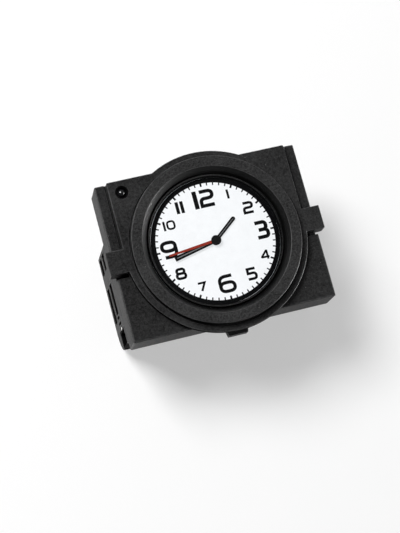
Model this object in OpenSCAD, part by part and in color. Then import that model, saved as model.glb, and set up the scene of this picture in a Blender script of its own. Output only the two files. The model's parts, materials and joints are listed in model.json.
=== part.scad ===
// Round dash clock gauge in a rectangular pod, with real hands and two stepping motors.
// Millimetres. X points to 3 o'clock, Y to 12 o'clock and Z out of the dial.
// The origin is on the dial's axis, in the plane of the flat back.

/* [Face] */
// Outer radius of the raised bezel ring, which fits a 52 mm panel hole
ring_r = 26; // [25.4:0.1:26.4]
// Width of the bezel ring's flat face
ring_w = 3.35; // [3:0.05:3.6]
// Width of the bezel ring's inner cone
cone_w = 1.7; // [1.1:0.05:1.9]
// Height of the bezel ring above the mask
ring_rise = 2.3; // [2.1:0.1:3]
// Width of the mask's round rim outside the ring
flange_w = 2.2; // [1.9:0.1:2.5]
// Thickness of the arched mask that lies on the box's face
mask_t = 2.1; // [1.8:0.1:3]
// Width of the groove beside the mask's straight sides
side_groove = 0.5; // [0.3:0.05:0.8]
// Width of a side tab
tab_w = 7.3; // [6:0.1:8]
// Reach of a side tab past the box's side
tab_out = 2; // [1.5:0.1:3]
// Height of a side tab's deep end
tab_deep = 5; // [4:0.1:5.4]
// Width of a top or bottom key at its root
key_w = 7.2; // [6:0.1:9]
// Reach of the top and bottom keys past the box
key_out = 4.2; // [3:0.1:5]

/* [Case] */
// Width of the box's face on each side of the mask
side_strip = 3.6; // [3.2:0.1:6]
// Reach of the mask's round rim past the box's top and bottom
rim_over = 3.6; // [2.5:0.1:3.9]
// Depth of the front box from its face to its back edge
box_depth = 11.6; // [11.6:0.1:14]
// Depth of the rear bay behind the front box
bay_depth = 20; // [19.5:0.5:28]
// Wall of the front box and of the rear bay
wall = 2; // [1.6:0.1:2.3]
// Height of the box's back left free above the rear bay
bay_shelf = 15.3; // [15.1:0.1:17]
// Step from the box's underside in to the rear bay's
bay_step = 2.6; // [2:0.1:3]
// Radius of the rear bay's lower back edge
bay_round = 7; // [5:0.5:7.5]
// Chamfer on the sharp outer edges
edge = 0.25; // [0.1:0.05:0.4]
// Thickness of the back cover
cover_t = 1.6; // [1.4:0.1:2]

/* [Dial] */
// Width of the black border round the white field
border_w = 1.4; // [1.2:0.05:2.1]
// Width of the lip ring that carries the lens
lip_w = 0.7; // [0.6:0.05:0.9]
// Height of the lip ring above the dial
lip_rise = 1.4; // [1.4:0.1:1.8]
// Thickness of the lens
lens_t = 0.8; // [0.6:0.1:1.2]
// Thickness of the dial plate
dial_t = 0.4; // [0.3:0.05:0.6]
// Thickness of the light guide under the dial
guide_t = 0.6; // [0.5:0.1:1]

/* [Hands] */
// Length of the hour hand from the axis
hour_len = 9.5; // [7:0.1:11]
// Length of the minute hand from the axis
minute_len = 13.9; // [11:0.1:16]
// Length of the second hand from the axis
second_len = 15.2; // [13:0.1:17]
// Hour shown at rest
show_hour = 1; // [0:1:11]
// Minute shown at rest
show_minute = 43; // [0:1:59]
// Second shown at rest
show_second = 44; // [0:1:59]
// Thickness of the hour and minute hands
hand_t = 0.15; // [0.1:0.05:0.2]
// Radius of the cap over the hands
cap_r = 1.55; // [1.3:0.05:1.8]

/* [Button] */
// Radius of the button's domed head
button_r = 1.4; // [1.2:0.05:1.6]
// Travel of the button
button_travel = 0.5; // [0.3:0.05:0.6]
// Distance of the button from the box's left side
button_from_side = 7.6; // [7.4:0.1:8.4]
// Distance of the button from the box's top
button_from_top = 3.8; // [3.8:0.1:4.4]

/* [Movement] */
// Tooth module of the two drive trains
drive_module = 0.24; // [0.22:0.005:0.25]
// Centre distance of the motion work
motion_dist = 6; // [5.8:0.1:6.4]
// Radius of the second hand's arbor
arbor_r = 0.3; // [0.25:0.05:0.3]
// Thickness of a gear wheel
wheel_t = 0.5; // [0.4:0.05:0.55]
// Width of the movement's plate that bears on the box's front wall
plate_rest = 2.4; // [2.2:0.1:2.8]
// Thickness of the movement's front plate
plate_t = 1.2; // [1.2:0.1:1.3]
// Thickness of the movement's back plate
bridge_t = 1.4; // [1.2:0.1:1.5]
// Radius of a motor magnet
magnet_r = 1.5; // [1.2:0.1:1.6]
// Thickness of a motor stator
stator_t = 0.8; // [0.6:0.1:1]

/* [Electronics] */
// Thickness of the main circuit board
board_t = 1.6; // [1:0.1:1.6]
// Height of the connector's opening along the bay's depth
socket_h = 10.4; // [10:0.1:11]
// Pitch of the connector's pins
pin_pitch = 2.2; // [1.6:0.1:2.3]
// Height of a side vent
vent_h = 5.3; // [4:0.1:5.4]
// Radius of the thread in each bracket insert
thread_r = 1.25; // [1:0.05:1.5]
// Distance between the two bracket inserts
thread_span = 20; // [16:1:26]

/* [Hidden] */
$fn = 96;

// Clearances
eps = 0.01;
dial_fit = 0.15;
seat = 0.02;
run_fit = 0.05;
gap = 0.3;
push_fit = 0.15;

// Radii of the face, from the ring inwards and outwards
ring_in_r = ring_r - ring_w;
foot_r = ring_in_r - cone_w;
lip_gap = 0.3;
lip_r = foot_r - lip_gap;
lip_in_r = lip_r - lip_w;
dial_r = lip_in_r - dial_fit;
dial_view_r = dial_r - border_w;
flange_r = ring_r + flange_w;
case_w = 2*(flange_r + side_strip);
case_h = 2*(flange_r - rim_over);
bay_top = case_h/2 - bay_shelf;
bay_low = case_h/2 - bay_step;

// Heights of the case
z_box = bay_depth;
z_face = bay_depth + box_depth;
front_wall = 2;
z_inner = z_face - front_wall;
z_mask = z_face + mask_t;
z_ring = z_mask + ring_rise;
inner_w = case_w - 2*wall;
inner_h = case_h - 2*wall;

// Heights of the dial stack
z_guide = z_face + guide_t;
z_dial = z_guide + dial_t;
z_lip = z_dial + lip_rise;
border_t = 0.15;
ring_seat = 0.4;
ring_groove = 0.35;
ring_step = 0.5;

// Heights of the hands
hand_gap = 0.15;
z_hour = z_dial + 0.25;
z_minute = z_hour + hand_t + hand_gap;
z_second = z_minute + hand_t + hand_gap;
second_t = 0.1;
cap_t = 0.25;
hub_wall = 0.33;

// The movement's plan grows with its plate
wall_hole_r = dial_view_r - 0.2;
plate_r = wall_hole_r + plate_rest;
plan = plate_r/20.6;
train_module = plan*drive_module;
motion_at_y = plan*motion_dist;

// Nested tubes on the axis
minute_in_r = arbor_r + 0.07;
minute_out_r = minute_in_r + 0.31;
hour_in_r = minute_out_r + 0.07;
hour_out_r = hour_in_r + 0.35;
pivot_r = 0.4;

// Teeth of the trains
wheel_teeth = 60;
idler_pinion_teeth = 10;
idler_teeth = 40;
rotor_teeth = 8;
cannon_teeth = 12;
motion_teeth = 36;
motion_pinion_teeth = 10;
hour_teeth = 40;
cannon_module = 2*motion_at_y/(cannon_teeth + motion_teeth);
hour_module = 2*motion_at_y/(motion_pinion_teeth + hour_teeth);
idler_dist = train_module*(wheel_teeth + idler_pinion_teeth)/2;
rotor_dist = train_module*(idler_teeth + rotor_teeth)/2;

// Places of the trains: the seconds side is at 3 o'clock and the minute side mirrors it
idler_dir = -35;
rotor_dir = -10;
idler_at = idler_dist*[cos(idler_dir), sin(idler_dir)];
rotor_at = idler_at + rotor_dist*[cos(rotor_dir), sin(rotor_dir)];
motion_dir = 90;

// Heights of the movement
z_plate = z_inner - plate_t;
z_centre = z_plate - 0.4 - wheel_t;
z_seconds = z_centre - 0.4 - wheel_t;
z_idler = z_seconds - 0.5 - wheel_t;
z_cannon = z_inner + 0.25;
z_hour_wheel = z_cannon + wheel_t + 0.35;
pinion_over = 0.15;
magnet_t = 1.5;
z_magnet = z_idler - 0.4 - magnet_t;
z_stator = z_magnet + magnet_t/2 - stator_t/2;
rear_plate_t = 1.6;
deck_t = 1;
thin_wall = 1;
z_rear_plate = z_box + rear_plate_t;
z_bridge = z_stator - 0.6 - bridge_t;
pivot_deep = 0.6;
z_bridge_top = z_bridge + bridge_t;

// Motor frame: a loop whose outer bar carries the coil
loop_in_x = plan*9.6;
loop_bar = plan*2.2;
core_w = 1.8;
coil_x = plan*20.5;
loop_out_x = coil_x + core_w/2;
loop_low_y = -plan*9.2;
loop_high_y = plan*13.6;
pole_h = plan*6.6;
rotor_hole_r = magnet_r + 0.4;
coil_low_y = -plan*0.6;
coil_len = plan*10;
coil_flange_r = 2.15;
coil_tube_r = 1.3;
coil_flange_t = 0.6;
stud_r = 0.5;
studs = [[loop_in_x + loop_bar/2, plan*2], [loop_in_x + loop_bar/2, plan*9], plan*[16.2, -7.6]];
pillar_ring = plan*17.2;
bridge_half_w = plan*17.2;
bridge_r = pillar_ring + 1.8;

// Fasteners
pillar_r = 1.6;
pillars = [for (a = [90, 225, 315]) pillar_ring*[cos(a), sin(a)]];
screw_r = 0.6;
plate_head_r = 1.15;
plate_head_t = 0.6;
move_screw_r = 0.8;
move_head_r = 1.5;
move_head_t = 0.8;
move_screw_ring = (plate_r + wall_hole_r + 0.2)/2;
move_screw_at = [for (a = [50, 130, 245, 295]) move_screw_ring*[cos(a), sin(a)]];
case_screw_r = 1;
case_head_r = 1.9;
case_head_t = 0.8;
case_bite = 5;
cover_bite = 4;
boss_r = 2.6;
boss_x = inner_w/2 - 2.8;
switch_board_low = 3.6;
boss_high_y = case_h/2 - button_from_top - switch_board_low - 0.6 - boss_r;
boss_low_y = -bay_low + wall + 0.9 + case_head_r;
case_boss_at = [[boss_x, boss_high_y], [-boss_x, boss_high_y], [boss_x, boss_low_y], [-boss_x, boss_low_y]];
z_case_seat = z_box + case_head_t;
mask_pin_r = 0.9;
mask_pin_ring = (ring_r + flange_r)/2 - 0.6;
mask_pin_at = [for (a = [18.8, 161.2, 231.9, 308.1]) mask_pin_ring*[cos(a), sin(a)]];

// Rear bay
cover_gap = push_fit;
cover_low = bay_low - bay_round;
board_z = 11.4;
board_top = board_z + board_t;
column_r = 2.4;
column_x = inner_w/2 - 6.2;
column_high_y = bay_top - 5.7;
column_from_low = 10.8;
column_low_y = -bay_low + column_from_low;
column_at = [[column_x, column_high_y], [-column_x, column_high_y], [column_x, column_low_y], [-column_x, column_low_y]];
vent_rows = [cover_t + 0.3 + vent_h/2, bay_depth - 5 - vent_h/2];
vent_from_low = 9;
vent_len = 11.4;
vent_groups = [[bay_top - thin_wall - vent_h, bay_top - thin_wall], [-bay_low + vent_from_low, -bay_low + vent_from_low + vent_len]];
slit_rib = 0.5;
slit_h = 0.95;
socket_w = 5.4;
socket_low_y = -bay_low + 0.15;
socket_mid_y = socket_low_y + socket_w/2;
socket_mid_z = board_z + board_t/2;
socket_len = 9.2;
socket_x = -case_w/2 + 0.15;
socket_shell = 0.55;
socket_round = 1;
socket_floor = 1.2;
pin_side = 0.6;
pin_reach = 3.4;
latch_w = 2.6;
latch_t = 0.8;
latch_len = 4;
insert_r = thread_r + 0.85;
insert_shell = 1.2;
insert_y = -4;
insert_len = 5;

// Button and its switch
button_x = -case_w/2 + button_from_side;
button_y = case_h/2 - button_from_top;
button_hole_r = button_r + 0.15;
sink_r = button_r + 0.55;
sink_deep = 0.5;
z_button_flange = z_inner - 0.05;
button_flange_t = 0.6;
button_flange_r = button_r + 0.7;
z_dome = z_mask - button_r - 0.1;
switch_half = 1.5;
post_span = 4.1;
switch_h = 2;
switch_board_t = 1;
z_switch_board = z_inner - 6;
z_switch = z_switch_board + switch_board_t;
z_switch_top = z_switch + switch_h;
plunger_r = 0.8;
spring_wire_r = 0.16;
spring_r = plunger_r + 0.35 + spring_wire_r;
spring_turns = 3.5;
post_r = 1.1;
post_at = [for (side = [-1, 1]) [button_x + side*post_span, button_y - 2]];

// Angle of a hand, counterclockwise from 3 o'clock
minute_turn = 90 - 6*show_minute;
second_turn = 90 - 6*show_second;
hour_turn = 90 - 30*(show_hour + show_minute/60);

// Colours
nylon = [0.09, 0.09, 0.09];
brass = [0.78, 0.62, 0.3];
steel = [0.7, 0.7, 0.72];
acetal = [0.9, 0.88, 0.82];

// Small helpers
module at(p, z = 0) translate([p[0], p[1], z]) children();

module disc(r, z0, z1) translate([0, 0, z0]) cylinder(r = r, h = z1 - z0);

module tube(r_out, r_in, z0, z1) difference() {
    disc(r_out, z0, z1);
    disc(r_in, z0 - 1, z1 + 1);
}

// Solid box between two corners
module block(low, high) translate(low) cube(high - low);

// Outline of a rectangle with its corners cut
function cut_rect(w, h, c) = [[-w/2 + c, -h/2], [w/2 - c, -h/2], [w/2, -h/2 + c], [w/2, h/2 - c],
    [w/2 - c, h/2], [-w/2 + c, h/2], [-w/2, h/2 - c], [-w/2, -h/2 + c]];

// Box with all its edges chamfered, centred on X and Y
module edged_box(w, h, z0, z1, c) intersection() {
    translate([0, 0, z0]) linear_extrude(z1 - z0) polygon(cut_rect(w, h, c));
    translate([0, h/2, (z0 + z1)/2]) rotate([90, 0, 0]) linear_extrude(h) polygon(cut_rect(w, z1 - z0, c));
    translate([-w/2, 0, (z0 + z1)/2]) rotate([90, 0, 90]) linear_extrude(w) polygon(cut_rect(h, z1 - z0, c));
}

// Slotted screw pointing up, its head's underside at z_seat
module screw(r, head_r, head_t, z_seat, z_tip) difference() {
    union() {
        disc(head_r, z_seat - head_t, z_seat);
        disc(r, z_seat - eps, z_tip);
    }
    block([-head_r, -head_r/7, z_seat - head_t - 1], [head_r, head_r/7, z_seat - head_t*0.55]);
}

// Gear outline: radial flanks below the pitch circle and a pointed arch above it
function tooth_angle(n, m, r, share) = 180/n*share*(r > m*n/2 ? sqrt(max(0, 1 - (r - m*n/2)/(1.35*m))) : 1);

function gear_points(n, m, share, add, ded) = [
    for (k = [0:n - 1]) let (c = 360*k/n, rp = m*n/2)
        for (q = [[-1, rp - ded*m], [-1, rp], [-1, rp + 0.55*add*m], [-1, rp + add*m],
                  [1, rp + add*m], [1, rp + 0.55*add*m], [1, rp], [1, rp - ded*m]])
            let (a = c + q[0]*tooth_angle(n, m, q[1], share))
                q[1]*[cos(a), sin(a)]];

wheel_share = 0.42;
pinion_share = 0.38;

module wheel_2d(n, m, turn) rotate(turn) polygon(gear_points(n, m, wheel_share, 0.85, 1.1));

module pinion_2d(n, m, turn) rotate(turn) polygon(gear_points(n, m, pinion_share, 0.6, 1.15));

// Turn of the gear at direction dir that meshes with one whose first tooth points along turn
function mesh_turn(dir, turn, n, n_next) = dir + 180 - 180/n_next + (dir - turn)*n/n_next;

// Wheel blank with four openings, lightening its web
module wheel(n, m, turn, z, hub_r, bore_r) difference() {
    translate([0, 0, z]) linear_extrude(wheel_t) wheel_2d(n, m, turn);
    disc(bore_r, z - 1, z + wheel_t + 1);
    for (a = [45:90:315])
        rotate(a) translate([(hub_r + m*(n/2 - 2))/2, 0, z - 1])
            cylinder(r = (m*(n/2 - 2) - hub_r)/2 - 0.5, h = wheel_t + 2);
}

module pinion(n, m, turn, z0, z1, bore_r) difference() {
    translate([0, 0, z0]) linear_extrude(z1 - z0) pinion_2d(n, m, turn);
    if (bore_r > 0) disc(bore_r, z0 - 1, z1 + 1);
}

// Arched mask with its side tabs
module mask_outline() {
    circle(r = flange_r);
    intersection() {
        translate([-flange_r, 0]) square([2*flange_r, case_h/2]);
        polygon([[-flange_r, 0], [flange_r, 0], [flange_r, case_h/2 - edge], [flange_r - edge, case_h/2],
            [-flange_r + edge, case_h/2], [-flange_r, case_h/2 - edge]]);
    }
}

tab_in = flange_r + 0.2;

module mask_tab() {
    reach = case_w/2 + tab_out;
    block([flange_r - 1.2, -tab_w/2, z_face], [reach, tab_w/2, z_mask]);
    block([tab_in, -tab_w/2, z_mask - tab_deep], [reach, tab_w/2, z_face + eps]);
}

module front_mask() color(nylon) difference() {
    union() {
        translate([0, 0, z_face]) linear_extrude(mask_t) mask_outline();
        for (turn = [0, 180]) rotate(turn) mask_tab();
        for (p = mask_pin_at) at(p) disc(mask_pin_r, z_inner - 0.5, z_face + eps);
    }
    disc(foot_r, z_face - 1, z_mask + 1);
    disc(ring_r + ring_groove, z_mask - ring_seat, z_mask + 1);
    at([button_x, button_y]) {
        disc(button_hole_r, z_face - 1, z_mask + 1);
        translate([0, 0, z_mask - sink_deep]) cylinder(r1 = button_hole_r, r2 = sink_r, h = sink_deep);
        disc(sink_r, z_mask, z_mask + 1);
    }
}

module bezel_ring() color(nylon) rotate_extrude() polygon([
    [foot_r, z_mask - ring_seat], [ring_r - ring_step, z_mask - ring_seat],
    [ring_r - ring_step, z_mask], [ring_r, z_mask], [ring_r, z_ring - edge],
    [ring_r - edge, z_ring], [ring_in_r + edge, z_ring], [ring_in_r, z_ring - edge]]);

module lens() color([0.85, 0.9, 0.95, 0.3]) disc(lip_r - 0.15, z_lip, z_lip + lens_t);

module lip_ring() color(nylon) rotate_extrude() polygon([
    [lip_in_r, z_guide], [lip_r, z_guide], [lip_r, z_lip - 0.2], [lip_r - 0.2, z_lip],
    [lip_in_r + 0.25, z_lip], [lip_in_r, z_lip - 0.5]]);

module dial_border() color([0.03, 0.03, 0.03]) tube(dial_r, dial_view_r, z_dial, z_dial + border_t);

module dial_plate() color("white") tube(dial_r, hour_out_r + 0.25, z_guide, z_dial);

module light_guide() color([0.9, 0.95, 1, 0.5]) tube(lip_r, hour_out_r + 0.4, z_face, z_guide);

lamp_ring = plan*14.5;
lamp_size = 2;
lamp_t = 1.2;

module dial_lamps() color([1, 1, 0.85]) for (a = [45:90:315])
    rotate(a) translate([lamp_ring, 0, z_inner + lamp_t/2]) cube([lamp_size, lamp_size, lamp_t], center = true);

// Trapezoid key at 6 o'clock, turned for 12 o'clock
module key_block() {
    z_key = z_inner - 3;
    translate([0, 0, z_key]) linear_extrude(3) polygon([
        [-key_w/2, -case_h/2 + wall/2], [-key_w/2, -case_h/2 - key_out/3], [-key_w/2 + 0.6, -case_h/2 - key_out],
        [key_w/2 - 0.6, -case_h/2 - key_out], [key_w/2, -case_h/2 - key_out/3], [key_w/2, -case_h/2 + wall/2]]);
}

notch_low = tab_w/2 + 1.05;
notch_high = tab_w/2 + gap;

module front_frame() color(nylon) difference() {
    union() {
        difference() {
            edged_box(case_w, case_h, z_box, z_face, edge);
            block([-inner_w/2, -inner_h/2, z_box - 1], [inner_w/2, inner_h/2, z_inner]);
        }
        for (p = case_boss_at) at(p) disc(boss_r, z_rear_plate, z_inner + eps);
        for (p = post_at) at(p) disc(post_r, z_switch, z_inner + eps);
        key_block();
        rotate(180) key_block();
    }
    disc(wall_hole_r, z_inner - 1, z_face + 1);
    for (p = case_boss_at) at(p) disc(case_screw_r*0.85, z_rear_plate - 1, z_inner - 1);
    for (p = mask_pin_at) at(p) disc(mask_pin_r + 0.1, z_inner - 1, z_face + 1);
    for (p = move_screw_at) at(p) disc(move_screw_r*0.9, z_inner - 1, z_face - 0.3);
    for (p = post_at) at(p) disc(screw_r*0.8, z_switch - 1, z_switch + 3);
    at([button_x, button_y]) {
        disc(button_hole_r, z_inner - 1, z_face + 1);
        disc(button_flange_r + gap, z_button_flange - button_flange_t - button_travel - gap, z_inner);
    }
    for (side = [0, 180]) {
        low = side == 0 ? notch_low : notch_high;
        high = side == 0 ? notch_high : notch_low;
        rotate(side) block([tab_in - gap, -low, z_mask - tab_deep - gap], [case_w/2 + 1, high, z_face + 1]);
    }
    for (side = [-1, 1])
        translate([side*(flange_r + side_groove/2), (case_h/2 + notch_high)/2 + 0.5, z_face])
            cube([side_groove, case_h/2 - notch_high + 1, 2], center = true);
}

// Side outline of the bay with its rounded lower back edge, drawn in by the given walls
module bay_outline(low_wall, top_wall) {
    low = -bay_low + low_wall;
    high = bay_top - top_wall;
    r = bay_round - low_wall;
    difference() {
        translate([low, 0]) square([high - low, z_box]);
        translate([low, 0]) square([r, bay_round]);
    }
    intersection() {
        translate([low + r, bay_round]) circle(r = r);
        translate([low, low_wall]) square([r + eps, r + eps]);
    }
}

// Solid with the bay's side outline, as wide as given
module bay_solid(w, low_wall, top_wall) translate([-w/2, 0, 0]) rotate([90, 0, 90])
    linear_extrude(w) bay_outline(low_wall, top_wall);

socket_clear = 0.2;
window_half_w = inner_w/2 - 13.8;
window_low = bay_low - 8;
window_high = bay_top - 3.3;

module rear_housing() color(nylon) difference() {
    union() {
        block([-inner_w/2 + push_fit, -inner_h/2 + push_fit, z_box], [inner_w/2 - push_fit, inner_h/2 - push_fit, z_rear_plate]);
        difference() {
            bay_solid(case_w, 0, 0);
            intersection() {
                bay_solid(inner_w, wall, thin_wall);
                block([-case_w, -case_h, cover_t], [case_w, case_h, z_box - deck_t]);
            }
            block([-inner_w/2, -cover_low, -1], [inner_w/2, bay_top - wall, bay_round]);
        }
        block([-inner_w/2 + push_fit, -bay_low + wall, z_box - deck_t],
              [inner_w/2 - push_fit, bay_top - wall, z_rear_plate]);
        for (p = column_at) at(p) disc(column_r, board_top, z_box + eps);
    }
    block([-window_half_w, -window_low, z_box - deck_t - 1], [window_half_w, window_high, z_rear_plate + 1]);
    for (p = column_at) at(p) disc(case_screw_r*0.85, board_top - 1, board_top + cover_bite + 0.5);
    for (p = case_boss_at) at(p) {
        disc(case_screw_r + 0.15, z_box - deck_t - 1, z_rear_plate + 1);
        disc(case_head_r + 0.2, z_box - deck_t - 1, z_case_seat);
    }
    difference() {
        for (side = [0, 1], row = vent_rows, group = vent_groups)
            mirror([side, 0, 0]) block([inner_w/2 - eps, group[0], row - vent_h/2], [case_w/2 + 1, group[1], row + vent_h/2]);
        block([-case_w/2 - 2, vent_groups[1][0] + slit_h, vent_rows[1] - vent_h],
              [-inner_w/2 + 1, vent_groups[1][0] + slit_h + slit_rib, vent_rows[1] + vent_h]);
    }
    block([-case_w/2 - 1, vent_groups[1][0] - 2*slit_h, vent_rows[1] - vent_h/2],
          [-inner_w/2 + eps, vent_groups[1][0] - slit_h, vent_rows[1] + vent_h/2]);
    block([-case_w/2 - 1, -bay_low - 1, socket_mid_z - socket_h/2 - socket_clear],
          [socket_x + socket_len + socket_clear, socket_low_y + socket_w + socket_clear, socket_mid_z + socket_h/2 + socket_clear]);
    block([-case_w/2 - 1, socket_low_y + socket_w, socket_mid_z - latch_w/2 - socket_clear],
          [socket_x + latch_len + socket_clear, socket_low_y + socket_w + latch_t + 2*socket_clear, socket_mid_z + latch_w/2 + socket_clear]);
}

module back_cover() color(nylon) difference() {
    union() {
        block([-inner_w/2 + cover_gap, -cover_low + cover_gap, 0], [inner_w/2 - cover_gap, bay_top - wall - cover_gap, cover_t]);
        for (p = column_at) at(p) disc(column_r, 0, board_z);
        for (side = [-1, 1]) at([side*thread_span/2, insert_y]) disc(insert_r + insert_shell, 0, insert_len + insert_shell/2);
    }
    for (p = column_at) at(p) {
        disc(case_screw_r + 0.15, -1, board_z + 1);
        disc(case_head_r + 0.2, -1, case_head_t + 0.3);
    }
    for (side = [-1, 1]) at([side*thread_span/2, insert_y]) disc(insert_r + seat, -1, insert_len);
}

module bracket_inserts() color(brass) for (side = [-1, 1]) at([side*thread_span/2, insert_y])
    tube(insert_r, thread_r, 0, insert_len);

module case_screws() color(steel) for (p = case_boss_at) at(p)
    screw(case_screw_r*0.85 - seat, case_head_r, case_head_t, z_case_seat, z_rear_plate + case_bite);

module cover_screws() color(steel) for (p = column_at) at(p)
    screw(case_screw_r*0.85 - seat, case_head_r, case_head_t, case_head_t + 0.3, board_top + cover_bite);

module rounded(w, h, r) {
    square([w - 2*r, h], center = true);
    square([w, h - 2*r], center = true);
    for (x = [-1, 1], y = [-1, 1]) translate([x*(w/2 - r), y*(h/2 - r)]) circle(r = r);
}

board_x0 = -inner_w/2 + 1;
board_x1 = inner_w/2 - 1;
board_y0 = -bay_low + wall + 0.8;
board_y1 = bay_top - wall - 0.6;

module circuit_board() color([0.05, 0.3, 0.15]) difference() {
    block([board_x0, board_y0, board_z], [board_x1, board_y1, board_top]);
    for (p = column_at) at(p) disc(case_screw_r + 0.15, board_z - 1, board_top + 1);
    block([board_x0 - 1, board_y0 - 1, board_z - 1], [socket_x + socket_len + 0.3, socket_low_y + socket_w + latch_t + 1, board_top + 1]);
}

chip_w = 7;
chip_t = 1.2;
crystal_r = 1.5;
crystal_len = 8;
capacitor_r = 3.15;
capacitor_h = 5.4;
capacitor_foot_t = 0.6;
regulator_w = 6.6;
regulator_h = 6;
regulator_t = 2.3;
lead_t = 0.6;
lead_w = 0.8;
lead_len = 1.6;
chip_y = (board_y0 + board_y1)/2 + 3.3;

module controller_chip() color([0.08, 0.08, 0.08])
    block([-chip_w/2, chip_y - chip_w, board_top], [chip_w/2, chip_y, board_top + chip_t]);

module quartz_crystal() color(steel) translate([-crystal_len/2, chip_y + 2*crystal_r, board_top + crystal_r])
    rotate([0, 90, 0]) cylinder(r = crystal_r, h = crystal_len);

module smoothing_capacitor() color([0.75, 0.75, 0.78]) at([chip_w/2 + 2.7*capacitor_r, chip_y - chip_w]) {
    disc(capacitor_r, board_top + capacitor_foot_t, board_top + capacitor_h);
    block([-1.05*capacitor_r, -1.05*capacitor_r, board_top],
          [1.05*capacitor_r, 1.05*capacitor_r, board_top + capacitor_foot_t]);
}

module voltage_regulator() color([0.1, 0.1, 0.1]) at([-chip_w/2 - 1.5*regulator_w, chip_y - chip_w + regulator_h/3]) {
    block([-regulator_w/2, -regulator_h/2, board_top], [regulator_w/2, regulator_h/2, board_top + regulator_t]);
    block([lead_t - regulator_w/2, regulator_h/2, board_top], [regulator_w/2 - lead_t, regulator_h/2 + 0.75*lead_len, board_top + lead_t]);
    for (side = [0, 1]) mirror([side, 0, 0])
        block([regulator_w/2 - 1.7*lead_w, -regulator_h/2 - lead_len, board_top],
              [regulator_w/2 - 0.7*lead_w, -regulator_h/2, board_top + lead_t]);
}

// Heights of the four pins: the inner two lie on the board's faces
pin_zs = [for (k = [-2, -1, 1, 2]) socket_mid_z + sign(k)*(board_t/2 + pin_side/2 + (abs(k) - 1)*pin_pitch)];

module connector_socket() color([0.05, 0.05, 0.05]) difference() {
    translate([socket_x, socket_mid_y, socket_mid_z]) rotate([90, 0, 90])
        linear_extrude(socket_len) rounded(socket_w, socket_h, socket_round);
    block([socket_x - 1, socket_low_y + socket_shell, socket_mid_z - socket_h/2 + socket_shell],
          [socket_x + socket_len - socket_floor, socket_low_y + socket_w - socket_shell, socket_mid_z + socket_h/2 - socket_shell]);
    for (z = pin_zs)
        block([socket_x + socket_len - socket_floor - 1, socket_mid_y - pin_side/2 - seat, z - pin_side/2 - seat],
              [socket_x + socket_len + 1, socket_mid_y + pin_side/2 + seat, z + pin_side/2 + seat]);
}

// Each pin runs out of the socket's floor and bends to the nearer face of the board
module contact_pins() color(brass) for (k = [0:len(pin_zs) - 1]) {
    z = pin_zs[k];
    above = z > board_z + board_t/2;
    inner = k == 1 || k == 2;
    x_end = socket_x + socket_len + (inner ? 1.4 : 2.6);
    block([socket_x + socket_len - socket_floor - pin_reach, socket_mid_y - pin_side/2, z - pin_side/2],
          [x_end, socket_mid_y + pin_side/2, z + pin_side/2]);
    z_low = above ? board_top : z - pin_side/2;
    z_high = above ? z + pin_side/2 : board_z;
    if (z_high - z_low > pin_side)
        block([x_end - pin_side, socket_mid_y - pin_side/2, z_low], [x_end, socket_mid_y + pin_side/2, z_high]);
}

module socket_latch() color([0.9, 0.9, 0.9])
    block([socket_x - 0.05, socket_low_y + socket_w, socket_mid_z - latch_w/2],
          [socket_x + latch_len, socket_low_y + socket_w + latch_t, socket_mid_z + latch_w/2]);

module mode_button() color([0.04, 0.04, 0.04]) at([button_x, button_y]) {
    disc(button_flange_r, z_button_flange - button_flange_t, z_button_flange);
    disc(button_r, z_button_flange - eps, z_dome);
    difference() {
        translate([0, 0, z_dome]) sphere(r = button_r);
        disc(button_r + 1, z_dome - 2*button_r, z_dome - eps);
    }
}

module switch_plunger() color([0.85, 0.85, 0.8]) at([button_x, button_y])
    disc(plunger_r, z_switch_top - button_travel - 0.3, z_button_flange - button_flange_t);

// Round wire wound in a helix of constant pitch
module helix(r, wire_r, z0, z1, turns) {
    rings = ceil(turns*12);
    sides = 6;
    length_z = z1 - z0 - 2*wire_r;
    points = [for (i = [0:rings]) let (a = 360*turns*i/rings, z = z0 + wire_r + length_z*i/rings)
        for (j = [0:sides - 1]) let (b = 360*j/sides, q = r + wire_r*cos(b))
            [q*cos(a), q*sin(a), z + wire_r*sin(b)]];
    walls = [for (i = [0:rings - 1]) for (j = [0:sides - 1]) let (n = (j + 1) % sides, p = i*sides)
        each [[p + j, p + sides + n, p + n], [p + j, p + sides + j, p + sides + n]]];
    first = [for (j = [1:sides - 2]) [0, j, j + 1]];
    last = [for (j = [1:sides - 2]) [rings*sides, rings*sides + j + 1, rings*sides + j]];
    polyhedron(points, concat(walls, first, last));
}

module button_spring() color(steel) at([button_x, button_y])
    helix(spring_r, spring_wire_r, z_switch_top + seat, z_button_flange - button_flange_t - seat, spring_turns);

module push_switch() color([0.12, 0.12, 0.12]) at([button_x, button_y]) difference() {
    block([-switch_half, -switch_half, z_switch], [switch_half, switch_half, z_switch_top]);
    disc(plunger_r + 0.1, z_switch_top - 2*button_travel - 0.5, z_switch_top + 1);
}

module switch_board() color([0.05, 0.3, 0.15]) difference() {
    block([max(button_x - post_span - post_r, -inner_w/2 + gap), button_y - switch_board_low, z_switch_board],
          [button_x + post_span + post_r, inner_h/2 - gap, z_switch]);
    for (p = post_at) at(p) disc(screw_r, z_switch_board - 1, z_switch + 1);
}

module switch_screws() color(steel) for (p = post_at) at(p)
    screw(screw_r*0.8 - seat, 1, 0.5, z_switch_board, z_switch + 2.6);

module pivot_holes(z0, z1, r_extra) {
    for (side = [-1, 1]) {
        at([side*idler_at[0], idler_at[1]]) disc(pivot_r + r_extra, z0, z1);
        at([side*rotor_at[0], rotor_at[1]]) disc(arbor_r + r_extra, z0, z1);
    }
}

motion_at = motion_at_y*[cos(motion_dir), sin(motion_dir)];
motion_post_r = 0.45;

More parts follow.
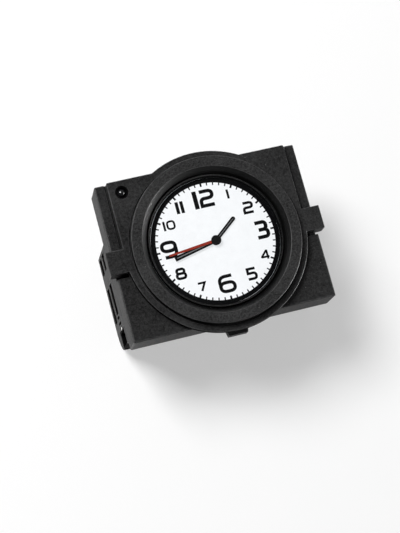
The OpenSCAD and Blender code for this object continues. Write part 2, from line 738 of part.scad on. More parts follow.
module movement_plate() color(brass) difference() {
    union() {
        disc(plate_r, z_plate, z_inner);
        at(motion_at) disc(motion_post_r, z_inner - eps, z_hour_wheel + wheel_t + pinion_over);
    }
    disc(minute_out_r + run_fit, z_plate - 1, z_inner + 1);
    pivot_holes(z_plate - 1, z_plate + pivot_deep + 0.1, run_fit);
    for (p = pillars) at(p) {
        disc(screw_r + 0.1, z_plate - 1, z_inner + 1);
        disc(plate_head_r + 0.1, z_inner - plate_head_t, z_inner + 1);
    }
    for (p = move_screw_at) at(p) disc(move_screw_r + 0.1, z_plate - 1, z_inner + 1);
}

module bridge_plate() color(brass) difference() {
    union() {
        intersection() {
            disc(bridge_r, z_bridge, z_bridge_top);
            block([-bridge_half_w, -bridge_r, z_bridge], [bridge_half_w, bridge_r, z_bridge_top]);
        }
        for (side = [-1, 1], p = studs) at([side*p[0], p[1]]) {
            disc(2*stud_r, z_bridge_top - eps, z_stator);
            disc(stud_r, z_bridge_top - eps, z_stator + stator_t);
        }
    }
    pivot_holes(z_bridge_top - pivot_deep - 0.1, z_stator, run_fit);
    disc(arbor_r + run_fit, z_bridge_top - pivot_deep - 0.1, z_stator);
    for (p = pillars) at(p) {
        disc(screw_r + 0.1, z_bridge - 1, z_bridge_top + 1);
        disc(plate_head_r + 0.1, z_bridge - 1, z_bridge + plate_head_t);
    }
}

module plate_pillars() color(steel) for (p = pillars) at(p)
    tube(pillar_r, screw_r, z_bridge_top, z_plate);

module plate_screws() color(steel) for (p = pillars) at(p) {
    screw(screw_r - seat, plate_head_r, plate_head_t, z_bridge + plate_head_t, z_bridge_top + 1.8);
    translate([0, 0, z_inner + z_bridge]) rotate([180, 0, 0])
        screw(screw_r - seat, plate_head_r, plate_head_t, z_bridge + plate_head_t, z_bridge + plate_t + 1.8);
}

module movement_screws() color(steel) for (p = move_screw_at) at(p)
    screw(move_screw_r*0.9 - seat, move_head_r, move_head_t, z_plate, z_face - 0.5);

module stator(side) color(steel) scale_x(side) difference() {
    translate([0, 0, z_stator]) linear_extrude(stator_t) difference() {
        translate([loop_in_x, loop_low_y]) square([loop_out_x - loop_in_x, loop_high_y - loop_low_y]);
        translate([loop_in_x + loop_bar, loop_low_y + pole_h])
            square([coil_x - core_w/2 - loop_in_x - loop_bar, loop_high_y - loop_bar - loop_low_y - pole_h]);
        translate(rotor_at) circle(r = rotor_hole_r);
    }
    for (p = studs) at(p) disc(stud_r + 0.05, z_stator - 1, z_stator + stator_t + 1);
}

// Mirrors a child about the dial's upright plane when side is -1
module scale_x(side) {
    if (side > 0) children();
    else mirror([1, 0, 0]) children();
}

module bobbin(side) color(acetal) scale_x(side) translate([coil_x, coil_low_y, z_stator + stator_t/2]) difference() {
    rotate([-90, 0, 0]) union() {
        cylinder(r = coil_tube_r, h = coil_len);
        cylinder(r = coil_flange_r, h = coil_flange_t);
        translate([0, 0, coil_len - coil_flange_t]) cylinder(r = coil_flange_r, h = coil_flange_t);
    }
    translate([-core_w/2 - seat, -1, -stator_t/2 - seat]) cube([core_w + 2*seat, coil_len + 2, stator_t + 2*seat]);
}

module winding(side) color([0.72, 0.4, 0.2]) scale_x(side)
    translate([coil_x, coil_low_y + coil_flange_t + seat, z_stator + stator_t/2]) rotate([-90, 0, 0]) difference() {
        cylinder(r = coil_flange_r - 0.15, h = coil_len - 2*coil_flange_t - 2*seat);
        translate([0, 0, -1]) cylinder(r = coil_tube_r + seat, h = coil_len + 2);
    }

module magnet(side) color([0.3, 0.3, 0.32]) at([side*rotor_at[0], rotor_at[1]])
    tube(magnet_r, arbor_r + seat, z_magnet, z_magnet + magnet_t);

// Angles that put each train in mesh at rest
idler_turn = 0;
function side_dir(side, dir) = side > 0 ? dir : 180 - dir;

module rotor_pinion(side) color(brass) at([side*rotor_at[0], rotor_at[1]]) {
    disc(arbor_r, z_bridge_top - pivot_deep, z_plate + pivot_deep);
    pinion(rotor_teeth, train_module, mesh_turn(side_dir(side, rotor_dir), idler_turn, idler_teeth, rotor_teeth),
        z_idler - pinion_over, z_idler + wheel_t + pinion_over, 0);
}

module idler(side, z_drive) color(acetal) at([side*idler_at[0], idler_at[1]]) {
    disc(pivot_r, z_bridge_top - pivot_deep, z_plate + pivot_deep);
    wheel(idler_teeth, train_module, idler_turn, z_idler, pivot_r + 0.5, 0.1);
    pinion(idler_pinion_teeth, train_module, mesh_turn(side_dir(side, idler_dir), 0, wheel_teeth, idler_pinion_teeth),
        z_drive - pinion_over, z_drive + wheel_t + pinion_over, 0);
}

module seconds_wheel() color(brass) {
    wheel(wheel_teeth, train_module, 0, z_seconds, 1.4, 0.1);
    disc(arbor_r, z_bridge_top - pivot_deep, z_second + second_t);
    disc(1, z_seconds - 0.4, z_seconds + eps);
}

module centre_wheel() color(brass) difference() {
    union() {
        wheel(wheel_teeth, train_module, 0, z_centre, 1.4, 0.1);
        disc(minute_out_r, z_centre, z_minute + hand_t);
        disc(1, z_centre + wheel_t - eps, z_plate - 0.15);
        pinion(cannon_teeth, cannon_module, 0, z_cannon - pinion_over, z_cannon + wheel_t + pinion_over, 0);
    }
    disc(minute_in_r, z_centre - 1, z_minute + hand_t + 1);
}

motion_turn = 0;

module motion_wheel() color(acetal) at(motion_at) difference() {
    union() {
        wheel(motion_teeth, cannon_module, mesh_turn(motion_dir, 0, cannon_teeth, motion_teeth), z_cannon, 1.2, 0.1);
        pinion(motion_pinion_teeth, hour_module, motion_turn, z_cannon + wheel_t - eps, z_hour_wheel + wheel_t + 0.1, 0);
    }
    disc(motion_post_r + run_fit, z_cannon - 1, z_hour_wheel + 2);
}

module hour_wheel() color(acetal) difference() {
    union() {
        wheel(hour_teeth, hour_module, mesh_turn(motion_dir + 180, motion_turn, motion_pinion_teeth, hour_teeth),
            z_hour_wheel, hour_out_r + 0.3, 0.1);
        disc(hour_out_r, z_hour_wheel, z_hour + hand_t);
    }
    disc(hour_in_r, z_hour_wheel - 1, z_hour + hand_t + 1);
}

// Flat hand along X: a tapered blade on a round hub
module hand(hub_r, bore_r, length, root_w, tip_w, round_tip, z, t) translate([0, 0, z]) linear_extrude(t) difference() {
    union() {
        circle(r = hub_r);
        blade = round_tip ? length - tip_w/2 : length;
        polygon([[0, -root_w/2], [blade, -tip_w/2], [blade, tip_w/2], [0, root_w/2]]);
        if (round_tip) translate([blade, 0]) circle(r = tip_w/2);
    }
    circle(r = bore_r);
}

hour_root_w = 1.2;
hour_tip_w = 1.3;
minute_root_w = 1.2;
minute_tip_w = 1.6;
second_root_w = 0.9;
second_tip_w = 0.6;

module hour_hand() color([0.04, 0.04, 0.04]) rotate(hour_turn)
    hand(hour_out_r + hub_wall, hour_out_r + seat, hour_len, hour_root_w, hour_tip_w, true, z_hour, hand_t);

module minute_hand() color([0.04, 0.04, 0.04]) rotate(minute_turn)
    hand(minute_out_r + hub_wall, minute_out_r + seat, minute_len, minute_root_w, minute_tip_w, false, z_minute, hand_t);

module second_hand() color([0.75, 0.1, 0.06]) rotate(second_turn)
    hand(arbor_r + 0.5, arbor_r + seat, second_len, second_root_w, second_tip_w, false, z_second, second_t);

module hand_cap() color([0.04, 0.04, 0.04]) rotate_extrude() polygon([
    [0, z_second + second_t], [cap_r, z_second + second_t], [cap_r, z_second + second_t + cap_t*0.6],
    [cap_r - 0.12, z_second + second_t + cap_t], [0, z_second + second_t + cap_t]]);

module seconds_stator() stator(1);
module seconds_bobbin() bobbin(1);
module seconds_winding() winding(1);
module seconds_magnet() magnet(1);
module seconds_pinion() rotor_pinion(1);
module seconds_idler() idler(1, z_seconds);
module minute_stator() stator(-1);
module minute_bobbin() bobbin(-1);
module minute_winding() winding(-1);
module minute_magnet() magnet(-1);
module minute_pinion() rotor_pinion(-1);
module minute_idler() idler(-1, z_centre);

front_mask();
bezel_ring();
lens();
lip_ring();
dial_border();
dial_plate();
light_guide();
dial_lamps();
front_frame();
rear_housing();
back_cover();
bracket_inserts();
case_screws();
cover_screws();
circuit_board();
controller_chip();
quartz_crystal();
smoothing_capacitor();
voltage_regulator();
connector_socket();
contact_pins();
socket_latch();
mode_button();
switch_plunger();
button_spring();
push_switch();
switch_board();
switch_screws();
movement_plate();
bridge_plate();
plate_pillars();
plate_screws();
movement_screws();
seconds_stator();
seconds_bobbin();
seconds_winding();
seconds_magnet();
seconds_pinion();
seconds_idler();
seconds_wheel();
second_hand();
hand_cap();
minute_stator();
minute_bobbin();
minute_winding();
minute_magnet();
minute_pinion();
minute_idler();
centre_wheel();
minute_hand();
motion_wheel();
hour_wheel();
hour_hand();
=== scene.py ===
"""Looks of a round dash clock gauge in a rectangular pod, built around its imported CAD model.

Every new surface is a function worked out on whole numpy arrays, in metres, in the frame of the CAD:
X points to 3 o'clock, Y to 12 o'clock and Z out of the dial, with the origin in the plane of the back.
"""
import json
import math

import bmesh
import bpy
import numpy as np
from bpy.props import FloatProperty, FloatVectorProperty, IntProperty, PointerProperty
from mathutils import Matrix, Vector


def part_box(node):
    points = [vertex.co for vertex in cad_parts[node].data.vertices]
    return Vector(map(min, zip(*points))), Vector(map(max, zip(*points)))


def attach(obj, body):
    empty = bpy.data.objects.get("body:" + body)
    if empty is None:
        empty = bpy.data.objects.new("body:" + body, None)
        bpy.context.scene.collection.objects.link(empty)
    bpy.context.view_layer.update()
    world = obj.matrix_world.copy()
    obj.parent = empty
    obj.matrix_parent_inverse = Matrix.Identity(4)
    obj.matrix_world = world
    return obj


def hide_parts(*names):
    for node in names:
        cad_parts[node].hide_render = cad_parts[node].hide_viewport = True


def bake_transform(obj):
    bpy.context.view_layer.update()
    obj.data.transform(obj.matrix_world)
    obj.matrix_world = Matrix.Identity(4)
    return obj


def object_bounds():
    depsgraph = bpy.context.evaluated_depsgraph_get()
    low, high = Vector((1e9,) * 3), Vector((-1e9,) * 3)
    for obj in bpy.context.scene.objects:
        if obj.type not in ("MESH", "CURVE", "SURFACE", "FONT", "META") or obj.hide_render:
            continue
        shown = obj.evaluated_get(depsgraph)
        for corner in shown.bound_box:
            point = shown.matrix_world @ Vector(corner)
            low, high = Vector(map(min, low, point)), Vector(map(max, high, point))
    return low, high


bl_info = {
    "name": "Round Dash Gauge",
    "version": (1, 0, 0),
    "blender": (4, 5, 0),
    "location": "3D Viewport > Sidebar > Gauge",
    "description": "Builds the visible surfaces and finishes of a round dash clock gauge",
    "category": "Add Mesh",
}

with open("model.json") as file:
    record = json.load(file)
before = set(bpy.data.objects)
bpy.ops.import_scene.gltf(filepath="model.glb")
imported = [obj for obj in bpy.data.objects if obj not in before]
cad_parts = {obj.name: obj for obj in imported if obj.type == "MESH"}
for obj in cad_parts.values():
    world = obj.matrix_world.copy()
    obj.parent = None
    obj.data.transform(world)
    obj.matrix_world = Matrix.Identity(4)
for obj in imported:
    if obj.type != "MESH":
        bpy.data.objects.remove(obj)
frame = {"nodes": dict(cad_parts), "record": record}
CAD_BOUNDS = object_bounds()
NODES = frame["nodes"]
SLOT_OF = {part["node"]: part["material_slot"] for part in frame["record"]["subparts"]}
MM = 0.001


def node_box(node):
    """Lowest and highest corner of a CAD node, as arrays."""
    low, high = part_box(node)
    return np.array(low), np.array(high)


def outer_radius(node):
    """Half the width of a round CAD node."""
    low, high = node_box(node)
    return (high[0] - low[0]) / 2


# Widths on the front: the ring's flat top, the cone in it, the mask's arch round it and the dial's border
RING_TOP = 3.35 * MM
CONE_WIDTH = 1.7 * MM
ARCH_WIDTH = 2.2 * MM
BORDER_WIDTH = 1.4 * MM

# Levels and radii of the face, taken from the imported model
Z_MASK = node_box("front_mask")[1][2]
Z_RING = node_box("bezel_ring")[1][2]
Z_DIAL = node_box("dial_plate")[1][2]
RING_R = outer_radius("bezel_ring")
CONE_R = RING_R - RING_TOP
VIEW_R = outer_radius("dial_plate") - BORDER_WIDTH

# Directions of the two hands that carry an inlay: 51.5 and 258 degrees from 12 o'clock
HOUR_TURN = math.radians(90 - 51.5)
MINUTE_TURN = math.radians(90 - 258)

# Rounding of a corner that stays sharp and of one that is hardly rounded, and steps around a small turning
SHARP = 1e-7
CRISP = 0.02 * MM
SMALL_AROUND = 96


class GaugeFace(bpy.types.PropertyGroup):
    """Sizes of the printed face and the hands' inlays."""

    print_height: FloatProperty(name="Print Height", default=0.02 * MM, unit="LENGTH",
                                description="Height of the printed figures over the dial")
    long_tick: FloatProperty(name="Hour Mark", default=1.0 * MM, unit="LENGTH",
                             description="Length of an hour mark")
    long_tick_width: FloatProperty(name="Hour Mark Width", default=0.58 * MM, unit="LENGTH",
                                   description="Width of an hour mark")
    short_tick: FloatProperty(name="Minute Mark", default=0.85 * MM, unit="LENGTH",
                              description="Length of a minute mark")
    short_tick_width: FloatProperty(name="Minute Mark Width", default=0.38 * MM, unit="LENGTH",
                                    description="Width of a minute mark")
    ink_spread: FloatProperty(name="Ink Spread", default=0.08 * MM, unit="LENGTH",
                              description="How far the ink of the figures runs past their outline")
    inlay_width: FloatProperty(name="Inlay Width", default=0.26 * MM, unit="LENGTH",
                               description="Usual width of the pale line along a hand")
    around: IntProperty(name="Steps Around", default=256,
                        description="Steps around each large turned surface")


class GaugeCase(bpy.types.PropertyGroup):
    """Rounding of the moulded case's edges."""

    mask_round: FloatProperty(name="Mask Edge", default=0.22 * MM, unit="LENGTH",
                              description="Rounding of the mask's edges")
    frame_round: FloatProperty(name="Frame Edge", default=0.18 * MM, unit="LENGTH",
                               description="Rounding of the front box's edges")
    housing_round: FloatProperty(name="Housing Edge", default=0.15 * MM, unit="LENGTH",
                                 description="Rounding of the edges of the rear bay and its cover")
    small_round: FloatProperty(name="Small Edge", default=0.06 * MM, unit="LENGTH",
                               description="Rounding of the small parts' edges")
    ring_round: FloatProperty(name="Ring Edge", default=0.28 * MM, unit="LENGTH",
                              description="Rounding of the raised ring's edges")


class GaugeFinish(bpy.types.PropertyGroup):
    """Colours of the finishes."""

    nylon: FloatVectorProperty(name="Moulded Black", default=(0.024, 0.024, 0.0243), subtype="COLOR",
                               size=3, description="Colour of the moulded case")
    ink: FloatVectorProperty(name="Print", default=(0.0025, 0.0027, 0.003), subtype="COLOR", size=3,
                             description="Colour of the printed figures")
    dial: FloatVectorProperty(name="Dial", default=(0.93, 0.95, 0.97), subtype="COLOR", size=3,
                              description="Colour of the dial")
    red: FloatVectorProperty(name="Second Hand", default=(0.225, 0.023, 0.013), subtype="COLOR", size=3,
                             description="Colour of the second hand")


class GaugeStage(bpy.types.PropertyGroup):
    """Light on the gauge and its floor."""

    key: FloatProperty(name="Key Light", default=24.5,
                       description="Strength of the large lamp at the upper left, in watts")
    gleam: FloatProperty(name="Gleam", default=31.0,
                         description="Strength of the low lamp at the lower right, which only mirrors")
    sky: FloatProperty(name="Room Light", default=0.13, description="Strength of the light from all around")
    floor_lift: FloatProperty(name="Floor Lift", default=0.47, subtype="FACTOR",
                              description="Share of plain white in the floor's colour")


# Meshes


def unit(v):
    """Each row divided by its length."""
    return v / np.maximum(np.linalg.norm(v, axis=-1, keepdims=True), 1e-12)


def grid_quads(rows, columns, wrap_rows):
    """Quads (i, j), (i, j+1), (i+1, j+1), (i+1, j) of a grid numbered row by row and closed along j."""
    i, j = np.meshgrid(np.arange(rows if wrap_rows else rows - 1), np.arange(columns), indexing="ij")
    up = (i + 1) % rows
    right = (j + 1) % columns
    corners = [i * columns + j, i * columns + right, up * columns + right, up * columns + j]
    return np.stack(corners, axis=-1).reshape(-1, 4)


def scene_object(name, data):
    """New object of a mesh, lamp or camera in the scene."""
    made = bpy.data.objects.new(name, data)
    bpy.context.scene.collection.objects.link(made)
    return made


def shaded_object(name, mesh, work, smooth_deg):
    """Object of a mesh and the work done on it, its faces turned outwards and smooth below an angle."""
    bmesh.ops.recalc_face_normals(work, faces=work.faces)
    work.to_mesh(mesh)
    work.free()
    mesh.polygons.foreach_set("use_smooth", np.ones(len(mesh.polygons), bool))
    mesh.set_sharp_from_angle(angle=math.radians(smooth_deg))
    return scene_object(name, mesh)


def mesh_object(name, vertices, faces, smooth_deg=20):
    """Object of one new mesh, with its doubles merged."""
    mesh = bpy.data.meshes.new(name)
    mesh.from_pydata(np.asarray(vertices, float).tolist(), [], np.asarray(faces).tolist())
    work = bmesh.new()
    work.from_mesh(mesh)
    bmesh.ops.remove_doubles(work, verts=work.verts, dist=1e-7)
    return shaded_object(name, mesh, work, smooth_deg)


def settle(piece, body, slot, finish, *stands_for):
    """Puts a finished piece on its body, with its finish and in place of CAD nodes; the slot is not used.
    """
    piece.data.materials.clear()
    piece.data.materials.append(finish)
    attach(piece, body)
    if stands_for:
        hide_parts(*stands_for)


def rounded_corners(points, radii, steps=6):
    """Closed outline whose corners are arcs: each arc starts and ends at r/tan(half the corner's angle)
    from the corner, and its points are its centre plus its two end radii weighted by sines."""
    points = np.asarray(points, float)
    count = len(points)
    radii = np.broadcast_to(np.asarray(radii, float), (count,))
    before = unit(np.roll(points, 1, axis=0) - points)
    after = unit(np.roll(points, -1, axis=0) - points)
    half = np.arccos(np.clip((before * after).sum(axis=1), -1, 1)) / 2
    reach = radii / np.tan(np.maximum(half, 1e-6))
    bisector = unit(before + after)
    centre = points + bisector * (radii / np.maximum(np.sin(half), 1e-6))[:, None]
    start = points + before * reach[:, None] - centre
    end = points + after * reach[:, None] - centre
    t = np.linspace(0, 1, steps)[None, :, None]
    sweep = np.maximum(np.pi - 2 * half, 1e-6)[:, None, None]
    weight_start = np.sin((1 - t) * sweep) / np.sin(sweep)
    weight_end = np.sin(t * sweep) / np.sin(sweep)
    arc = centre[:, None] + weight_start * start[:, None] + weight_end * end[:, None]
    return arc.reshape(-1, points.shape[1])


def turned(name, outline, around, centre=(0.0, 0.0)):
    """Surface of revolution: the point (r, z) of the closed outline at angle a stands at
    (r*cos a, r*sin a, z) from the centre."""
    outline = np.asarray(outline, float)
    angle = np.linspace(0, 2 * np.pi, around, endpoint=False)[:, None]
    radius = outline[None, :, 0]
    x = centre[0] + radius * np.cos(angle)
    y = centre[1] + radius * np.sin(angle)
    z = np.broadcast_to(outline[None, :, 1], x.shape)
    vertices = np.stack([x, y, z], axis=-1).reshape(-1, 3)
    return mesh_object(name, vertices, grid_quads(around, len(outline), True), smooth_deg=50)


def coil(name, centre, radius, wire, low, high, turns, around=12, steps=44):
    """Round wire wound about an upright line: at angle t the wire's middle is (r*cos t, r*sin t, z), and z
    rises evenly with t. A ring of the skin lies across the wire at each step, and a ring of no size closes
    each end."""
    count = int(turns * steps) + 1
    t = np.linspace(0, 2 * np.pi * turns, count)
    outward = np.c_[np.cos(t), np.sin(t), np.zeros(count)]
    axis_points = np.c_[np.tile(centre, (count, 1)), np.linspace(low + wire, high - wire, count)]
    middle = radius * outward + axis_points
    across = np.cross(unit(np.gradient(middle, axis=0)), outward)
    turn = np.linspace(0, 2 * np.pi, around, endpoint=False)[None, :, None]
    rings = middle[:, None] + wire * (np.cos(turn) * outward[:, None] + np.sin(turn) * across[:, None])
    ends = np.broadcast_to(middle[[0, -1], None], (2, around, 3))
    rings = np.concatenate([ends[:1], rings, ends[1:]])
    return mesh_object(name, rings.reshape(-1, 3), grid_quads(count + 2, around, False), smooth_deg=60)


def path_with_arcs(points, radius, closed, steps=7):
    """Line through points in the plane, with each inner corner cut by a quadratic arc whose ends lie
    at the given distance from the corner: (1-t)^2*a + 2t(1-t)*corner + t^2*b."""
    points = np.asarray(points, float)
    count = len(points)
    radius = np.broadcast_to(np.asarray(radius, float), (count,))
    corners = np.arange(count) if closed else np.arange(1, count - 1)
    here = points[corners]
    back = points[(corners - 1) % count] - here
    ahead = points[(corners + 1) % count] - here
    cut = radius[corners, None]
    start = here + unit(back) * np.minimum(cut, np.linalg.norm(back, axis=1, keepdims=True) / 2)
    end = here + unit(ahead) * np.minimum(cut, np.linalg.norm(ahead, axis=1, keepdims=True) / 2)
    t = np.linspace(0, 1, steps)[None, :, None]
    arcs = (1 - t) ** 2 * start[:, None] + 2 * t * (1 - t) * here[:, None] + t ** 2 * end[:, None]
    line = arcs.reshape(-1, 2)
    if not closed:
        line = np.vstack([points[:1], line, points[-1:]])
    step = np.linalg.norm(line - np.roll(line, 1, axis=0), axis=1)
    keep = step > 1e-7
    if not closed:
        keep[0] = True
    return line[keep]


def strip(line, width, low, high, closed=False):
    """Flat raised strip along a line: every point moves by half the width along the mitred normal, to both
    sides, at the low and the high level. Returns vertices and faces."""
    line = np.asarray(line, float)
    count = len(line)
    ahead = np.roll(line, -1, axis=0) - line
    back = line - np.roll(line, 1, axis=0)
    if not closed:
        ahead[-1] = back[-1]
        back[0] = ahead[0]
    tangent = unit(unit(ahead) + unit(back))
    normal = np.stack([-tangent[:, 1], tangent[:, 0]], axis=1)
    edge_normal = np.stack([-unit(ahead)[:, 1], unit(ahead)[:, 0]], axis=1)
    least_cosine = 0.35
    mitre = 1 / np.maximum((normal * edge_normal).sum(axis=1, keepdims=True), least_cosine)
    shift = normal * mitre * width / 2
    left = line + shift
    right = line - shift
    lows = np.full(count, low)
    highs = np.full(count, high)
    corners = [np.c_[left, lows], np.c_[left, highs], np.c_[right, highs], np.c_[right, lows]]
    section = np.stack(corners, axis=1)
    faces = grid_quads(count, 4, closed)
    if not closed:
        last = 4 * (count - 1)
        faces = np.vstack([faces, [[0, 1, 2, 3]], [[last + 3, last + 2, last + 1, last]]])
    return section.reshape(-1, 3), faces


def joined(parts):
    """One list of vertices and faces from several."""
    vertices = []
    faces = []
    offset = 0
    for part_vertices, part_faces in parts:
        vertices.append(part_vertices)
        faces.append(part_faces + offset)
        offset += len(part_vertices)
    return np.vstack(vertices), np.vstack(faces)


def softened_copy(source, name, width, angle_deg, segments=3, edge_slot=-1):
    """Copy of a CAD node with merged corners, its flat triangles joined and its edges rounded by a bevel,
    which may take a finish of its own."""
    mesh = NODES[source].data.copy()
    mesh.name = name
    work = bmesh.new()
    work.from_mesh(mesh)
    bmesh.ops.remove_doubles(work, verts=work.verts, dist=2e-6)
    bmesh.ops.dissolve_limit(work, angle_limit=math.radians(0.6), verts=work.verts, edges=work.edges)
    piece = shaded_object(name, mesh, work, smooth_deg=33)
    bevel = piece.modifiers.new("Rounded Edges", "BEVEL")
    bevel.width = width
    bevel.segments = segments
    bevel.limit_method = "ANGLE"
    bevel.angle_limit = math.radians(angle_deg)
    bevel.use_clamp_overlap = False
    bevel.harden_normals = True
    bevel.material = edge_slot
    return piece


# Shader node groups and materials

FINISHES = {}


def feed(tree, socket, value):
    """Links a socket to the value where that is a socket too, and else sets it."""
    if isinstance(value, bpy.types.NodeSocket):
        tree.links.new(value, socket)
    else:
        socket.default_value = value


def set_inputs(tree, shader_node, **values):
    """Feeds a shader node's inputs by name, with _ for a space."""
    for name, value in values.items():
        feed(tree, shader_node.inputs[name.replace("_", " ")], value)


def node(tree, kind, **values):
    """New shader node of that kind with the named inputs fed."""
    made = tree.nodes.new(kind)
    set_inputs(tree, made, **values)
    return made


def math_node(tree, operation, first, second):
    """Math node on two values or sockets; returns its output."""
    made = tree.nodes.new("ShaderNodeMath")
    made.operation = operation
    feed(tree, made.inputs[0], first)
    feed(tree, made.inputs[1], second)
    return made.outputs[0]


def vector_node(tree, operation, first, second):
    """Vector math node on a vector and a second one, or on a vector and a scale; returns its output."""
    made = tree.nodes.new("ShaderNodeVectorMath")
    made.operation = operation
    feed(tree, made.inputs[0], first)
    feed(tree, made.inputs["Scale" if operation == "SCALE" else 1], second)
    return made.outputs["Value" if operation == "DOT_PRODUCT" else "Vector"]


def ranged(tree, value, low, high, new_low, new_high):
    """Value carried from one range to another, and held at its ends."""
    made = node(tree, "ShaderNodeMapRange", Value=value, From_Min=low, From_Max=high, To_Min=new_low,
                To_Max=new_high)
    made.clamp = True
    return made.outputs["Result"]


def spread(tree, texture, low, high):
    """A noise texture's value carried from its usual span to another one."""
    return ranged(tree, texture.outputs["Fac"], 0.3, 0.7, low, high)


def mixed(tree, factor, first, second):
    """Mix of two colours or sockets by a factor or socket. The node's sockets for colours are its inputs 6
    and 7 and its output 2."""
    made = tree.nodes.new("ShaderNodeMix")
    made.data_type = "RGBA"
    feed(tree, made.inputs["Factor"], factor)
    feed(tree, made.inputs[6], first)
    feed(tree, made.inputs[7], second)
    return made.outputs[2]


def object_place(tree):
    """Place in the piece's own coordinates, in metres."""
    return tree.nodes.new("ShaderNodeTexCoord").outputs["Object"]


def noise(tree, place, **values):
    """Noise texture read at a place."""
    return node(tree, "ShaderNodeTexNoise", Vector=place, **values)


def rgba(colour):
    """Colour with its fourth number."""
    return (*colour, 1.0)


def shared_group(name, inputs):
    """Shader node group with these inputs that gives a colour, a roughness and a height; returns the tree
    and its two end nodes."""
    tree = bpy.data.node_groups.new(name, "ShaderNodeTree")
    for label, kind, default in inputs:
        socket = tree.interface.new_socket(name=label, in_out="INPUT", socket_type="NodeSocket" + kind)
        socket.default_value = default
    for label, kind in (("Colour", "Color"), ("Roughness", "Float"), ("Height", "Float")):
        tree.interface.new_socket(name=label, in_out="OUTPUT", socket_type="NodeSocket" + kind)
    return tree, tree.nodes.new("NodeGroupInput"), tree.nodes.new("NodeGroupOutput")


def moulded_grain_group():
    """Spark-eroded grain of a moulded part: fine pits, slow clouds of tone and a few pale specks."""
    tree, start, end = shared_group("Moulded Grain", [
        ("Colour", "Color", (0.02, 0.02, 0.02, 1)), ("Grain Scale", "Float", 3200.0),
        ("Tone", "Float", 0.25), ("Rough", "Float", 0.5), ("Specks", "Float", 0.0)])
    place = object_place(tree)
    scale = start.outputs["Grain Scale"]
    fine = noise(tree, place, Scale=scale, Detail=2.5, Roughness=0.6)
    pits = node(tree, "ShaderNodeTexVoronoi", Vector=place, Scale=math_node(tree, "MULTIPLY", scale, 1.3))
    pits.feature = "SMOOTH_F1"
    clouds = noise(tree, place, Scale=1500.0, Detail=3.0, Roughness=0.65)
    slow = noise(tree, place, Scale=90.0, Detail=2.0)
    tone = math_node(tree, "ADD", spread(tree, fine, -0.6, 0.6), spread(tree, clouds, -0.7, 0.7))
    tone = math_node(tree, "ADD", tone, spread(tree, slow, -0.3, 0.3))
    gain = math_node(tree, "ADD", math_node(tree, "MULTIPLY", tone, start.outputs["Tone"]), 1.0)
    shade = vector_node(tree, "SCALE", start.outputs["Colour"], gain)
    speck = node(tree, "ShaderNodeTexVoronoi", Vector=place, Scale=900.0)
    dot = ranged(tree, speck.outputs["Distance"], 0.05, 0.11, 1.0, 0.0)
    chosen = node(tree, "ShaderNodeSeparateColor", Color=speck.outputs["Color"])
    rare = ranged(tree, chosen.outputs[0], 0.93, 0.96, 0.0, 1.0)
    mask = math_node(tree, "MULTIPLY", math_node(tree, "MULTIPLY", dot, rare), start.outputs["Specks"])
    height = math_node(tree, "ADD", math_node(tree, "MULTIPLY", fine.outputs["Fac"], 0.6),
                       math_node(tree, "MULTIPLY", pits.outputs["Distance"], 0.5))
    height = math_node(tree, "ADD", height, math_node(tree, "MULTIPLY", clouds.outputs["Fac"], 0.9))
    set_inputs(tree, end, Colour=mixed(tree, mask, shade, (0.3, 0.3, 0.29, 1)), Height=height,
               Roughness=math_node(tree, "ADD", start.outputs["Rough"], spread(tree, fine, -0.08, 0.08)))
    return tree


def drawn_metal_group():
    """Drawn or rolled metal: long fine streaks along one way, and slow clouds of tarnish."""
    tree, start, end = shared_group("Drawn Metal", [
        ("Colour", "Color", (0.6, 0.6, 0.6, 1)), ("Streak Scale", "Vector", (400.0, 9000.0, 9000.0)),
        ("Tarnish", "Float", 0.2), ("Rough", "Float", 0.3)])
    place = object_place(tree)
    colour = start.outputs["Colour"]
    stretched = vector_node(tree, "MULTIPLY", place, start.outputs["Streak Scale"])
    streaks = noise(tree, stretched, Scale=1.0, Detail=3.0)
    clouds = noise(tree, place, Scale=350.0, Detail=4.0)
    stain = math_node(tree, "MULTIPLY", ranged(tree, clouds.outputs["Fac"], 0.35, 0.75, 0.0, 1.0),
                      start.outputs["Tarnish"])
    dark = vector_node(tree, "SCALE", colour, 0.45)
    rough = math_node(tree, "ADD", start.outputs["Rough"], spread(tree, streaks, -0.08, 0.1))
    rough = math_node(tree, "ADD", rough, math_node(tree, "MULTIPLY", stain, 0.4))
    set_inputs(tree, end, Colour=mixed(tree, stain, colour, dark), Roughness=rough,
               Height=streaks.outputs["Fac"])
    return tree


def blank_finish(name):
    """Material with its Principled shader; returns the material, its tree and the shader."""
    finish = bpy.data.materials.new(name)
    finish.use_nodes = True
    tree = finish.node_tree
    return finish, tree, tree.nodes["Principled BSDF"]


def add_bump(tree, shader, height, distance):
    """Bump of a height socket into a shader's normal."""
    bump = node(tree, "ShaderNodeBump", Strength=1.0, Distance=distance, Height=height)
    tree.links.new(bump.outputs["Normal"], shader.inputs["Normal"])


def use_group(tree, shader, group, bump_distance, **values):
    """Places a group in a material with its own values and feeds colour, roughness and bump from it."""
    made = tree.nodes.new("ShaderNodeGroup")
    made.node_tree = group
    set_inputs(tree, made, **values)
    set_inputs(tree, shader, Base_Color=made.outputs["Colour"], Roughness=made.outputs["Roughness"])
    add_bump(tree, shader, made.outputs["Height"], bump_distance)


def moulded(name, grain, colour, scale, tone, rough, specks, bump_mm, specular=0.5, coat=0.0):
    """Moulded plastic with the shared grain."""
    finish, tree, shader = blank_finish(name)
    use_group(tree, shader, grain, bump_mm * MM, Colour=rgba(colour), Grain_Scale=scale, Tone=tone,
              Rough=rough, Specks=specks)
    set_inputs(tree, shader, Specular_IOR_Level=specular, Coat_Weight=coat)
    return finish


